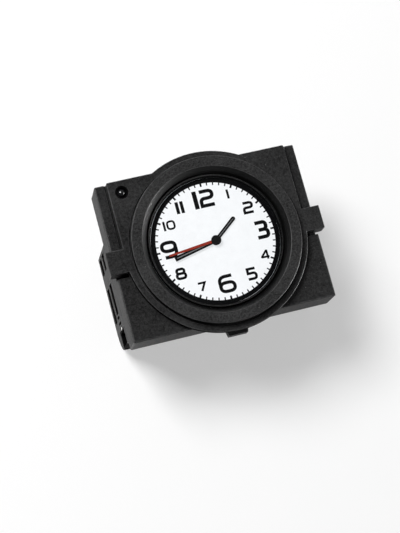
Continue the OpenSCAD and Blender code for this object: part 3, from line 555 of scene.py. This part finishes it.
def metal(name, drawn, colour, streaks, tarnish, rough):
    """Metal with the shared streaks."""
    finish, tree, shader = blank_finish(name)
    streak_depth = 0.002 * MM
    use_group(tree, shader, drawn, streak_depth, Colour=rgba(colour), Streak_Scale=streaks, Tarnish=tarnish,
              Rough=rough)
    set_inputs(tree, shader, Metallic=1.0)
    return finish


def lens_finish():
    """Clear polished plastic: almost fully see-through, with its gloss kept and a faint haze."""
    finish, tree, shader = blank_finish("clear_lens")
    clouds = noise(tree, object_place(tree), Scale=260.0, Detail=4.0)
    haze = clouds.outputs["Fac"]
    set_inputs(tree, shader, Base_Color=(0.01, 0.012, 0.014, 1), IOR=1.49,
               Roughness=ranged(tree, haze, 0.3, 0.75, 0.03, 0.08),
               Alpha=ranged(tree, haze, 0.35, 0.8, 0.02, 0.035))
    finish.surface_render_method = "BLENDED"
    return finish


def dial_finish(colour):
    """Matt white card, faintly cool, with painted glow: most of its light is an emission standing in for
    the lamps behind it, which also lifts the shade under the hands, and little of the light that falls on
    it comes back."""
    finish, tree, shader = blank_finish("dial_white")
    fibre = noise(tree, object_place(tree), Scale=900.0, Detail=4.0)
    worn = rgba([value * 0.975 for value in colour])
    card = mixed(tree, spread(tree, fibre, 0.0, 1.0), rgba(colour), worn)
    # Painted glow: the emission stands in for the lamps behind the dial and lifts the shade under the hands
    set_inputs(tree, shader, Base_Color=mixed(tree, 0.72, card, (0, 0, 0, 1)), Emission_Color=card,
               Emission_Strength=0.75, Roughness=0.6)
    return finish


def print_finish(name, colour, rough, specular):
    """Screen-printed ink with a slightly uneven film."""
    finish, tree, shader = blank_finish(name)
    film = noise(tree, object_place(tree), Scale=1500.0, Detail=3.0)
    pale = rgba([value * 1.5 for value in colour])
    set_inputs(tree, shader, Base_Color=mixed(tree, film.outputs["Fac"], rgba(colour), pale),
               Roughness=spread(tree, film, rough - 0.05, rough + 0.08), Specular_IOR_Level=specular)
    return finish


def winding_finish():
    """Enamelled copper wire: fine turns across the coil's axis."""
    finish, tree, shader = blank_finish("copper_wire")
    wave = node(tree, "ShaderNodeTexWave", Vector=object_place(tree), Scale=1600.0, Distortion=0.4,
                Detail=1.0)
    wave.bands_direction = "Y"
    turns = wave.outputs["Fac"]
    set_inputs(tree, shader, Base_Color=mixed(tree, turns, (0.16, 0.045, 0.02, 1), (0.62, 0.24, 0.10, 1)),
               Metallic=0.85, Roughness=ranged(tree, turns, 0.0, 1.0, 0.42, 0.26))
    add_bump(tree, shader, turns, 0.03 * MM)
    return finish


def board_finish():
    """Circuit board: green resist over copper tracks, with tinned pads."""
    finish, tree, shader = blank_finish("board_green")
    place = object_place(tree)
    gap = (0, 0, 0, 1)
    bricks = node(tree, "ShaderNodeTexBrick", Vector=place, Scale=300.0, Mortar_Size=0.055,
                  Mortar_Smooth=0.1, Color1=gap, Color2=gap, Mortar=(1, 1, 1, 1))
    tracks = bricks.outputs["Color"]
    pads = node(tree, "ShaderNodeTexVoronoi", Vector=place, Scale=420.0, Randomness=0.35)
    pad = ranged(tree, pads.outputs["Distance"], 0.14, 0.17, 1.0, 0.0)
    cloth = noise(tree, place, Scale=2500.0, Detail=2.0)
    resist = mixed(tree, cloth.outputs["Fac"], (0.006, 0.06, 0.022, 1), (0.010, 0.085, 0.034, 1))
    colour = mixed(tree, tracks, resist, (0.03, 0.17, 0.06, 1))
    set_inputs(tree, shader, Base_Color=mixed(tree, pad, colour, (0.62, 0.6, 0.55, 1)), Metallic=pad,
               Roughness=spread(tree, cloth, 0.24, 0.36))
    add_bump(tree, shader, tracks, 0.02 * MM)
    return finish


# Scale of the case's grain
CASE_GRAIN = 3200.0

# Blacks of the case, each with its share of the moulded black, then its unevenness of tone, roughness,
# specks, depth of grain in millimetres and mirror strength. Only the first is the plain moulded black; the
# others are painted light: a smoother, much darker copy for painted shade on the ring's cone and the lip,
# two darker copies for painted shade on the front faces, and a lighter copy for a painted highlight on the
# rounded edges
CASE_BLACKS = {
    "black_nylon": (1.0, 0.9, 0.5, 0.6, 0.06, 0.1),
    "smooth_shaded_black": (0.05, 0.6, 0.47, 0.2, 0.02, 0.22),
    "shaded_box_black": (0.7, 0.9, 0.5, 0.6, 0.06, 0.08),
    "shaded_mask_black": (0.8, 0.9, 0.5, 0.6, 0.06, 0.085),
    "painted_edge_highlight": (1.6, 0.6, 0.4, 0.2, 0.02, 0.2),
}

# Other mouldings, each with its colour, then its scale of grain, unevenness of tone, roughness, specks and
# depth of grain in millimetres; two also have a mirror strength, and one of these a clear coat
MOULDINGS = {
    "guide_clear": ((0.72, 0.76, 0.78), 1200.0, 0.03, 0.28, 0.0, 0.004),
    "lamp_yellow": ((0.75, 0.68, 0.25), 1500.0, 0.12, 0.3, 0.0, 0.004),
    "ivory_acetal": ((0.78, 0.74, 0.62), 2000.0, 0.05, 0.38, 0.0, 0.004),
    "magnet_grey": ((0.07, 0.07, 0.075), 2800.0, 0.3, 0.45, 0.2, 0.008),
    "chip_black": ((0.016, 0.016, 0.017), 3600.0, 0.25, 0.55, 0.2, 0.008),
    # Painted shade: near-black for faces in openings, grooves and shaded corners
    "painted_shade_black": ((0.002, 0.002, 0.0021), CASE_GRAIN, 0.3, 0.8, 0.0, 0.01, 0.03),
    "black_gloss": ((0.006, 0.006, 0.007), 2600.0, 0.2, 0.22, 0.15, 0.003, 0.5, 0.4),
}

# Printed and lacquered finishes, each with its colour, roughness and mirror strength
PRINTS = {
    "border_print": ((0.0015, 0.0015, 0.0018), 0.8, 0.04),
    "hand_black": ((0.003, 0.003, 0.0033), 0.6, 0.06),
    "hand_inlay": ((0.12, 0.123, 0.127), 0.5, 0.1),
    "pale_inlay": ((0.13, 0.133, 0.137), 0.5, 0.1),
}

# Scales of the streaks on metal drawn along X and along Y
ALONG_X = (300.0, 9000.0, 9000.0)
ALONG_Y = (9000.0, 300.0, 9000.0)

# Metals, each with its colour, scale of streaks, tarnish and roughness
METALS = {
    "brass": ((0.78, 0.55, 0.22), ALONG_X, 0.35, 0.28),
    "steel": ((0.58, 0.58, 0.60), ALONG_Y, 0.25, 0.3),
    "tinned": ((0.80, 0.79, 0.76), ALONG_X, 0.12, 0.2),
}


def make_finishes(colours):
    """All finishes by name: one for each slot of the record, and a few for print, painted highlights and
    painted shade.
    """
    made = {"clear_lens": lens_finish(), "dial_white": dial_finish(list(colours.dial)),
            "copper_wire": winding_finish(), "board_green": board_finish()}
    grain = moulded_grain_group()
    for name, (share, *values) in CASE_BLACKS.items():
        made[name] = moulded(name, grain, [value * share for value in colours.nylon], CASE_GRAIN, *values)
    for name, values in MOULDINGS.items():
        made[name] = moulded(name, grain, *values)
    prints = {**PRINTS, "hand_red": (list(colours.red), 0.5, 0.1),
              "figure_ink": (list(colours.ink), 0.8, 0.04)}
    for name, values in prints.items():
        made[name] = print_finish(name, *values)
    drawn = drawn_metal_group()
    for name, values in METALS.items():
        made[name] = metal(name, drawn, *values)
    return made


# Pieces


def bezel_outline():
    """Ring section, from the foot of the cone round the outer wall and back, with rounded upper edges."""
    soft = bpy.context.scene.gauge_case.ring_round
    foot = CONE_R - CONE_WIDTH
    recess = Z_MASK - 0.4 * MM
    spigot = RING_R - 0.1 * MM
    points = [(foot, recess), (spigot, recess), (spigot, Z_MASK), (RING_R, Z_MASK), (RING_R, Z_RING),
              (CONE_R, Z_RING)]
    return rounded_corners(points, [CRISP, CRISP, CRISP, CRISP, soft, soft * 1.2], steps=9)


def face_centres(piece):
    """Centres of the piece's faces as rows."""
    centres = np.empty(3 * len(piece.data.polygons), np.float32)
    piece.data.polygons.foreach_get("center", centres)
    return centres.reshape(-1, 3)


def from_axis(centres):
    """Distance of each place from the dial's axis."""
    return np.hypot(centres[:, 0], centres[:, 1])


def add_finish(piece, name, chosen=None):
    """Adds a finish to the piece, and gives it to the chosen faces."""
    mesh = piece.data
    mesh.materials.append(FINISHES[name])
    if chosen is not None:
        index = np.empty(len(mesh.polygons), np.int32)
        mesh.polygons.foreach_get("material_index", index)
        index[chosen] = len(mesh.materials) - 1
        mesh.polygons.foreach_set("material_index", index)


def bake_modifiers(piece):
    """Puts the result of the piece's modifiers into its mesh, so that the new faces can be chosen."""
    shown = piece.evaluated_get(bpy.context.evaluated_depsgraph_get())
    mesh = bpy.data.meshes.new_from_object(shown)
    piece.modifiers.clear()
    piece.data = mesh


def by_button(centres):
    """Whether each place lies over the button's sink or its rim."""
    low, high = node_box("mode_button")
    rim = 2.5 * MM
    return np.hypot(*(centres[:, :2] - (low + high)[:2] / 2).T) < rim


# Finish of each front face: a darker copy of the moulded black, painted shade that makes the front
# faces darker than the walls of their shell
SHADED_FACE_FINISHES = {"front_frame": "shaded_box_black", "front_mask": "shaded_mask_black"}


def painted_shade_faces(source, centres):
    """Faces of a shell that take painted shade, near-black, as they lie in an opening, a groove or a shaded
    corner: the button's sink and the wall below the arch of the mask, the two long grooves of the box and
    the vents of the bay."""
    across = np.abs(centres[:, 0])
    level = centres[:, 2]
    high = node_box(source)[1]
    if source == "front_mask":
        arch = RING_R + ARCH_WIDTH
        on_arch = np.abs(from_axis(centres) - arch) < 0.12 * MM
        below_face = level < Z_MASK - 0.05 * MM
        below_edge = level < Z_MASK - 0.4 * MM
        return (by_button(centres) & below_face) | (on_arch & (centres[:, 1] < 0) & below_edge)
    if source == "front_frame":
        rim = node_box("bezel_ring")[1][0] + ARCH_WIDTH
        groove_in = rim - 0.1 * MM
        groove_out = rim + 0.9 * MM
        groove_floor = high[2] - 2.2 * MM
        sunk = (level < high[2] - 0.02 * MM) & (level > groove_floor)
        return sunk & (across > groove_in) & (across < groove_out) & (centres[:, 1] > 0)
    wall_in = high[0] - 2.1 * MM
    wall_out = high[0] - 0.3 * MM
    return (source == "rear_housing") & (across > wall_in) & (across < wall_out)


class GAUGE_OT_case(bpy.types.Operator):
    """Rounds the edges of the moulded case's shells, gives them their grain, paints a highlight on the
    rounded edges and paints shade on the front faces, grooves and openings
    """

    bl_idname = "gauge.case"
    bl_label = "Case Shells"

    def execute(self, context):
        settings = context.scene.gauge_case
        # Each shell's CAD node, name, rounding and smallest angle in degrees of an edge that is rounded
        shells = (("front_mask", "arched_mask", settings.mask_round, 40),
                  ("front_frame", "front_box", settings.frame_round, 28),
                  ("rear_housing", "rear_bay", settings.housing_round, 28),
                  ("back_cover", "rear_cover", settings.housing_round, 28))
        for source, name, width, angle in shells:
            piece = softened_copy(source, name, width, angle, edge_slot=1)
            settle(piece, "case", "black_nylon", FINISHES["black_nylon"], source)
            # The bevels take the second finish, a painted highlight: a lighter copy of the black for light
            # caught by the edges
            add_finish(piece, "painted_edge_highlight")
            if source == "front_mask":
                bake_modifiers(piece)
            centres = face_centres(piece)
            # Painted shade: the front faces, and the place round the button on the mask, take a darker copy
            # of the black
            if source in SHADED_FACE_FINISHES:
                on_face = centres[:, 2] > node_box(source)[1][2] - 0.005 * MM
                if source == "front_mask":
                    on_face |= by_button(centres)
                add_finish(piece, SHADED_FACE_FINISHES[source], on_face)
            # Painted shade: near-black on faces in openings, grooves and shaded corners
            add_finish(piece, "painted_shade_black", painted_shade_faces(source, centres))
        return {"FINISHED"}


class GAUGE_OT_ring(bpy.types.Operator):
    """Turns the raised ring and the lip that holds the lens, with painted highlights on the ring's edges
    and painted shade on its cone, its lower wall and the lip
    """

    bl_idname = "gauge.ring"
    bl_label = "Raised Ring and Lip"

    def execute(self, context):
        around = context.scene.gauge_face.around
        ring = turned("raised_ring", bezel_outline(), around)
        settle(ring, "case", "black_nylon", FINISHES["black_nylon"], "bezel_ring")
        centres = face_centres(ring)
        distance = from_axis(centres)
        # Painted shade: the cone takes a smoother, much darker copy of the black, so only the low gleam
        # lamp lights it
        add_finish(ring, "smooth_shaded_black", distance < CONE_R)
        # Painted highlight: a lighter copy of the black on the rounded outer and inner edges of the top
        high_up = centres[:, 2] > Z_RING - 0.3 * MM
        outer_edge = distance > RING_R - 0.25 * MM
        inner_edge = (distance > CONE_R) & (distance < CONE_R + 0.2 * MM)
        add_finish(ring, "painted_edge_highlight", high_up & (outer_edge | inner_edge))
        # Painted shade: near-black on the lower half of the outer wall, standing in for a shadow gap
        lower_wall = ~high_up & (distance > RING_R - 0.05 * MM) & (centres[:, 1] < 0.2 * RING_R)
        add_finish(ring, "painted_shade_black", lower_wall & (centres[:, 2] > Z_MASK))
        low, high = node_box("lip_ring")
        outer = outer_radius("lip_ring")
        inner = outer - 0.7 * MM
        bevel_foot = high[2] - 0.4 * MM
        section = rounded_corners([(inner, low[2]), (outer, low[2]), (outer, high[2]),
                                   (inner + 0.1 * MM, high[2]), (inner, bevel_foot)],
                                  [CRISP, CRISP, 0.15 * MM, 0.12 * MM, 0.1 * MM])
        lip = turned("lens_lip", section, around)
        # Painted shade on the lip: a smooth, much darker copy of the black on its outer rounding, a darker
        # copy on its flat top and near-black on its inner wall
        settle(lip, "case", "black_nylon", FINISHES["smooth_shaded_black"], "lip_ring")
        flat_top = outer - 0.13 * MM
        inner_wall = outer - 0.38 * MM
        distance = from_axis(face_centres(lip))
        add_finish(lip, "shaded_box_black", distance < flat_top)
        add_finish(lip, "painted_shade_black", distance < inner_wall)
        return {"FINISHED"}


class GAUGE_OT_lens(bpy.types.Operator):
    """Turns the clear lens with its polished rim"""

    bl_idname = "gauge.lens"
    bl_label = "Lens"

    def execute(self, context):
        low, high = node_box("lens")
        radius = outer_radius("lens")
        soft = 0.18 * MM
        outline = rounded_corners([(0.0, low[2]), (radius, low[2]), (radius, high[2]), (0.0, high[2])],
                                  [SHARP, soft / 2, soft, SHARP], steps=7)
        lens = turned("lens_disc", outline, context.scene.gauge_face.around)
        settle(lens, "case", "clear_lens", FINISHES["clear_lens"], "lens")
        return {"FINISHED"}


# Shapes of the figures in a unit box: for each stroke its points, its corner roundings as shares of the
# figure's width, and whether it closes. The figure 1 is a plain bar.
FIGURES = {
    "0": [([(0, 0), (1, 0), (1, 1), (0, 1)], 0.42, True)],
    "2": [([(0, 1), (1, 1), (1, 0.5), (0, 0.5), (0, 0), (1.04, 0)], [0, 0.36, 0.36, 0.3, 0, 0], False)],
    "3": [([(0, 1), (0.94, 1), (0.94, 0.5), (0.22, 0.5)], [0, 0.3, 0.34, 0], False),
          ([(0.22, 0.5), (1, 0.5), (1, 0), (0, 0)], [0, 0.34, 0.3, 0], False)],
    "4": [([(0.84, 1), (0.07, 0.25), (1.05, 0.25)], [0, 0.14, 0], False),
          ([(0.84, 1.02), (0.84, -0.03)], 0, False)],
    "5": [([(1, 1), (0.06, 1), (0.06, 0.56), (1, 0.56), (1, 0), (-0.03, 0)],
           [0, 0, 0, 0.36, 0.36, 0], False)],
    "6": [([(0, 0.58), (1, 0.58), (1, 0), (0, 0)], 0.4, True),
          ([(0.93, 1), (0, 1), (0, 0.28)], [0, 0.62, 0], False)],
    "7": [([(0, 1), (1, 1), (0.36, -0.03)], 0, False)],
    "8": [([(0, 0.52), (1, 0.52), (1, 0), (0, 0)], 0.3, True),
          ([(0.07, 1), (0.93, 1), (0.93, 0.52), (0.07, 0.52)], 0.28, True)],
    "9": [([(1, 0.42), (0, 0.42), (0, 1), (1, 1)], 0.4, True),
          ([(0.1, 0), (1, 0), (1, 0.72)], [0, 0.62, 0], False)],
}

# Each figure's box on the dial in millimetres, left, low, right, high, and its stroke
FIGURE_BOXES = [
    ("1", -3.4, 10.87, -2.13, 16.35, 1.2), ("2", -1.6, 10.87, 3.13, 16.35, 0.95),
    ("1", 7.13, 12.05, 7.71, 14.8, 0.55), ("2", 10.76, 6.03, 14.1, 9.8, 0.66),
    ("3", 12.5, -2.55, 16.95, 3.05, 0.98), ("4", 11.95, -9.15, 14.95, -5.95, 0.46),
    ("5", 6.42, -14.24, 9.66, -10.45, 0.65), ("6", -2.66, -16.34, 2.55, -10.84, 0.87),
    ("7", -9.03, -14.24, -6.4, -11.37, 0.5), ("8", -14.6, -9.24, -11.3, -5.7, 0.66),
    ("9", -17.05, -2.2, -12.0, 3.2, 0.92), ("1", -14.45, 6.42, -13.87, 9.24, 0.52),
    ("0", -13.4, 6.42, -10.76, 9.24, 0.45), ("1", -9.24, 10.7, -8.37, 14.3, 0.85),
    ("1", -7.74, 10.7, -6.87, 14.3, 0.85),
]


def figure_strips(figure, left, low, right, high, stroke, spill, z_low, z_high):
    """Strips of one figure: the unit box is laid over the figure's box drawn in by half a stroke. The ink
    runs past the outline by the spill, and a second stroke lies a hair higher than the one it crosses."""
    thick = stroke * MM + 2 * spill
    hair = 0.004 * MM
    if figure == "1":
        middle = (left + right) / 2
        line = np.array([(middle, low), (middle, high)]) * MM + np.array([(0, -spill), (0, spill)])
        return [strip(line, thick, z_low, z_high)]
    made = []
    width = right - left - stroke
    height = high - low - stroke
    for k, (points, rounding, closed) in enumerate(FIGURES[figure]):
        points = np.array(points, float) * (width, height) + (left + stroke / 2, low + stroke / 2)
        line = path_with_arcs(points * MM, np.asarray(rounding, float) * width * MM, closed)
        made.append(strip(line, thick, z_low, z_high + k * hair, closed))
    return made


class GAUGE_OT_print(bpy.types.Operator):
    """Lays the figures and the minute track on the dial as thin raised ink"""

    bl_idname = "gauge.dial_print"
    bl_label = "Dial Print"

    def execute(self, context):
        settings = context.scene.gauge_face
        low = Z_DIAL - 0.01 * MM
        high = Z_DIAL + settings.print_height
        parts = []
        for row in FIGURE_BOXES:
            parts += figure_strips(*row, settings.ink_spread, low, high)
        figures = mesh_object("dial_figures", *joined(parts))
        settle(figures, "case", "border_print", FINISHES["figure_ink"])
        marks = []
        outer = VIEW_R + 0.02 * MM
        for minute in range(60):
            angle = math.radians(90 - 6 * minute)
            way = np.array([math.cos(angle), math.sin(angle)])
            hour = minute % 5 == 0
            length = settings.long_tick if hour else settings.short_tick
            width = settings.long_tick_width if hour else settings.short_tick_width
            marks.append(strip(np.array([way * (outer - length), way * outer]), width, low, high))
        track = mesh_object("minute_track", *joined(marks))
        settle(track, "case", "border_print", FINISHES["figure_ink"])
        return {"FINISHED"}


def inlay(name, body, turn, end, width, finish):
    """Thin pale bar along a hand, from beside its hub to the end, sunk a little into the hand's top."""
    start = 1.7 * MM
    top = node_box(body)[1][2]
    way = np.array([math.cos(turn), math.sin(turn)])
    line = np.array([way * start, way * end])
    vertices, faces = strip(line, width, top - 0.01 * MM, top + 0.02 * MM)
    settle(mesh_object(name, vertices, faces), body, "hand_black", finish)


class GAUGE_OT_hands(bpy.types.Operator):
    """Adds the hands' pale lines and domes the cap over them"""

    bl_idname = "gauge.hands"
    bl_label = "Hands"

    def execute(self, context):
        width = context.scene.gauge_face.inlay_width
        inlay("hour_inlay", "hour_hand", HOUR_TURN, 8.85 * MM, width * 0.8, FINISHES["hand_inlay"])
        inlay("minute_inlay", "minute_hand", MINUTE_TURN, 13.2 * MM, width * 1.15, FINISHES["pale_inlay"])
        low, high = node_box("hand_cap")
        radius = outer_radius("hand_cap")
        shoulder = high[2] - 0.04 * MM
        soft = 0.1 * MM
        outline = rounded_corners([(0.0, low[2]), (radius, low[2]), (radius, shoulder),
                                   (radius * 0.8, high[2]), (0.0, high[2])],
                                  [SHARP, CRISP, soft, soft, SHARP])
        cap = turned("axle_cap", outline, SMALL_AROUND)
        settle(cap, "second_hand", "hand_black", FINISHES["hand_black"], "hand_cap")
        return {"FINISHED"}


class GAUGE_OT_button(bpy.types.Operator):
    """Turns the glossy domed button on its shank and winds the spring that it shortens"""

    bl_idname = "gauge.button"
    bl_label = "Button"

    def execute(self, context):
        low, high = node_box("mode_button")
        centre = (low + high)[:2] / 2
        flange = outer_radius("mode_button")
        radius = flange - 0.7 * MM
        flange_top = low[2] + 0.6 * MM
        dome_from = high[2] - radius
        turn = np.linspace(0, np.pi / 2, 20)
        dome = np.c_[radius * np.cos(turn), dome_from + radius * np.sin(turn)]
        dome[-1, 0] = 0.0
        corners = [(0.0, low[2]), (flange, low[2]), (flange, flange_top), (radius, flange_top)]
        foot = rounded_corners(corners, [SHARP, 0.05 * MM, 0.05 * MM, SHARP], steps=5)
        button = turned("domed_button", np.vstack([foot, dome]), SMALL_AROUND, centre)
        settle(button, "mode_button", "black_gloss", FINISHES["black_gloss"], "mode_button")
        low, high = node_box("button_spring")
        centre = (low + high)[:2] / 2
        wire = 0.16 * MM
        radius = outer_radius("button_spring") - wire
        spring = coil("return_spring", centre, radius, wire, low[2], high[2], turns=3.5)
        slot = SLOT_OF["button_spring"]
        spring.data.materials.append(FINISHES[slot])
        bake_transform(spring)
        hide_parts("button_spring")
        return {"FINISHED"}


class GAUGE_OT_plug(bpy.types.Operator):
    """Rounds the plug socket, its latch and its pins"""

    bl_idname = "gauge.plug"
    bl_label = "Plug Socket"

    def execute(self, context):
        width = context.scene.gauge_case.small_round
        for source, name in (("connector_socket", "plug_socket"), ("socket_latch", "latch_clip"),
                             ("contact_pins", "plug_pins")):
            slot = SLOT_OF[source]
            # The socket is black plastic; its near-black, matt finish is also painted shade, as if it lay
            # in shadow
            finish = FINISHES["painted_shade_black" if source == "connector_socket" else slot]
            piece = softened_copy(source, name, width, angle_deg=30, segments=2)
            settle(piece, "case", slot, finish, source)
        return {"FINISHED"}


class GAUGE_OT_finishes(bpy.types.Operator):
    """Gives every CAD node the finish of its slot"""

    bl_idname = "gauge.finishes"
    bl_label = "Finishes"

    def execute(self, context):
        for name, piece in NODES.items():
            piece.data.materials.clear()
            piece.data.materials.append(FINISHES[SLOT_OF[name]])
        return {"FINISHED"}


# Stage


def area_lamp(name, place, size, power):
    """Square soft lamp at a place, turned towards the front of the gauge."""
    data = bpy.data.lights.new(name, "AREA")
    data.shape = "SQUARE"
    data.size = size
    data.energy = power
    lamp = scene_object(name, data)
    lamp.location = place
    aim = Vector((0.0, 0.0, 0.02))
    lamp.rotation_euler = (aim - Vector(place)).to_track_quat("-Z", "Y").to_euler()
    return lamp


def floor_finish(lift):
    """White floor: its own shading mixed with plain white for camera, mirror and glass rays."""
    finish, tree, shader = blank_finish("studio_floor")
    set_inputs(tree, shader, Base_Color=(0.95, 0.95, 0.95, 1), Roughness=0.9, Specular_IOR_Level=0.0)
    light = tree.nodes.new("ShaderNodeLightPath")
    seen = math_node(tree, "MAXIMUM", light.outputs["Is Camera Ray"], light.outputs["Is Glossy Ray"])
    seen = math_node(tree, "MAXIMUM", seen, light.outputs["Is Transmission Ray"])
    white = node(tree, "ShaderNodeEmission", Color=(1, 1, 1, 1))
    blend = tree.nodes.new("ShaderNodeMixShader")
    tree.links.new(math_node(tree, "MULTIPLY", seen, lift), blend.inputs[0])
    tree.links.new(shader.outputs[0], blend.inputs[1])
    tree.links.new(white.outputs[0], blend.inputs[2])
    tree.links.new(blend.outputs[0], tree.nodes["Material Output"].inputs["Surface"])
    return finish


def white_room(strength):
    """World that is plain white to the camera and through the lens, and brightest at the upper right."""
    world = bpy.data.worlds.new("studio_room")
    bpy.context.scene.world = world
    world.use_nodes = True
    tree = world.node_tree
    light = tree.nodes.new("ShaderNodeLightPath")
    seen = math_node(tree, "MAXIMUM", light.outputs["Is Camera Ray"], light.outputs["Is Transmission Ray"])
    direction = tree.nodes.new("ShaderNodeTexCoord").outputs["Generated"]
    towards = vector_node(tree, "DOT_PRODUCT", direction, (0.7, 0.7, 0.0))
    room = ranged(tree, towards, -1.0, 1.0, strength * 0.2, strength * 1.8)
    unseen = math_node(tree, "MULTIPLY", math_node(tree, "SUBTRACT", 1.0, seen), room)
    set_inputs(tree, tree.nodes["Background"], Color=(1, 1, 1, 1),
               Strength=math_node(tree, "ADD", unseen, seen))


def photo_camera():
    """Camera at the place from which the photograph was taken."""
    data = bpy.data.cameras.new("photo_camera")
    data.sensor_fit = "AUTO"
    data.sensor_width = 36.0
    data.lens = 103.783
    data.clip_start = 0.01
    data.clip_end = 20.0
    camera = scene_object("photo_camera", data)
    camera.location = (-0.095216, -0.094147, 0.477598)
    camera.rotation_euler = [math.radians(value) for value in (13.45328, -8.02200, -15.03857)]
    bpy.context.scene.camera = camera


class GAUGE_OT_stage(bpy.types.Operator):
    """Sets the floor, the lamps, the room light and the camera"""

    bl_idname = "gauge.stage"
    bl_label = "Stage"

    def execute(self, context):
        settings = context.scene.gauge_stage
        level = CAD_BOUNDS[0][2] - 0.05 * MM
        reach = 3.0
        corners = np.array([(-1, -1), (1, -1), (1, 1), (-1, 1)]) * reach
        mesh = bpy.data.meshes.new("studio_floor")
        mesh.from_pydata(np.c_[corners, np.full(4, level)].tolist(), [], [[0, 1, 2, 3]])
        mesh.materials.append(floor_finish(settings.floor_lift))
        floor = scene_object("studio_floor", mesh)
        area_lamp("key_lamp", (-0.594, 0.675, 1.07), size=0.60, power=settings.key)
        gleam = area_lamp("gleam_lamp", (0.84, -0.31, 0.31), size=0.4, power=settings.gleam)
        gleam.visible_diffuse = False
        white_room(settings.sky)
        context.scene.view_settings.view_transform = "Standard"
        photo_camera()
        return {"FINISHED"}


class GAUGE_PT_panel(bpy.types.Panel):
    """Lists the gauge's settings and the buttons of its operators in the sidebar"""

    bl_idname = "GAUGE_PT_panel"
    bl_label = "Round Dash Gauge"
    bl_space_type = "VIEW_3D"
    bl_region_type = "UI"
    bl_category = "Gauge"

    def draw(self, context):
        for group_name in SETTINGS:
            group = getattr(context.scene, group_name)
            box = self.layout.box()
            for name in group.bl_rna.properties.keys():
                if name not in ("rna_type", "name"):
                    box.prop(group, name)
        for operator in OPERATORS:
            self.layout.operator(operator.bl_idname)


# Settings groups by their names on the scene, and the operators in the order in which main calls them
SETTINGS = {"gauge_face": GaugeFace, "gauge_case": GaugeCase, "gauge_finish": GaugeFinish,
            "gauge_stage": GaugeStage}
OPERATORS = (GAUGE_OT_finishes, GAUGE_OT_case, GAUGE_OT_ring, GAUGE_OT_lens, GAUGE_OT_print, GAUGE_OT_hands,
             GAUGE_OT_button, GAUGE_OT_plug, GAUGE_OT_stage)
CLASSES = (*SETTINGS.values(), *OPERATORS, GAUGE_PT_panel)


def register():
    """Registers the classes and hangs the settings on the scene."""
    for kind in CLASSES:
        bpy.utils.register_class(kind)
    for name, kind in SETTINGS.items():
        setattr(bpy.types.Scene, name, PointerProperty(type=kind))


def unregister():
    """Takes the settings and the classes away again."""
    for name in SETTINGS:
        delattr(bpy.types.Scene, name)
    for kind in reversed(CLASSES):
        bpy.utils.unregister_class(kind)


def main():
    """Registers the add-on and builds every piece."""
    register()
    FINISHES.update(make_finishes(bpy.context.scene.gauge_finish))
    for operator in OPERATORS:
        area, name = operator.bl_idname.split(".")
        getattr(getattr(bpy.ops, area), name)()


if __name__ == "__main__":
    main()
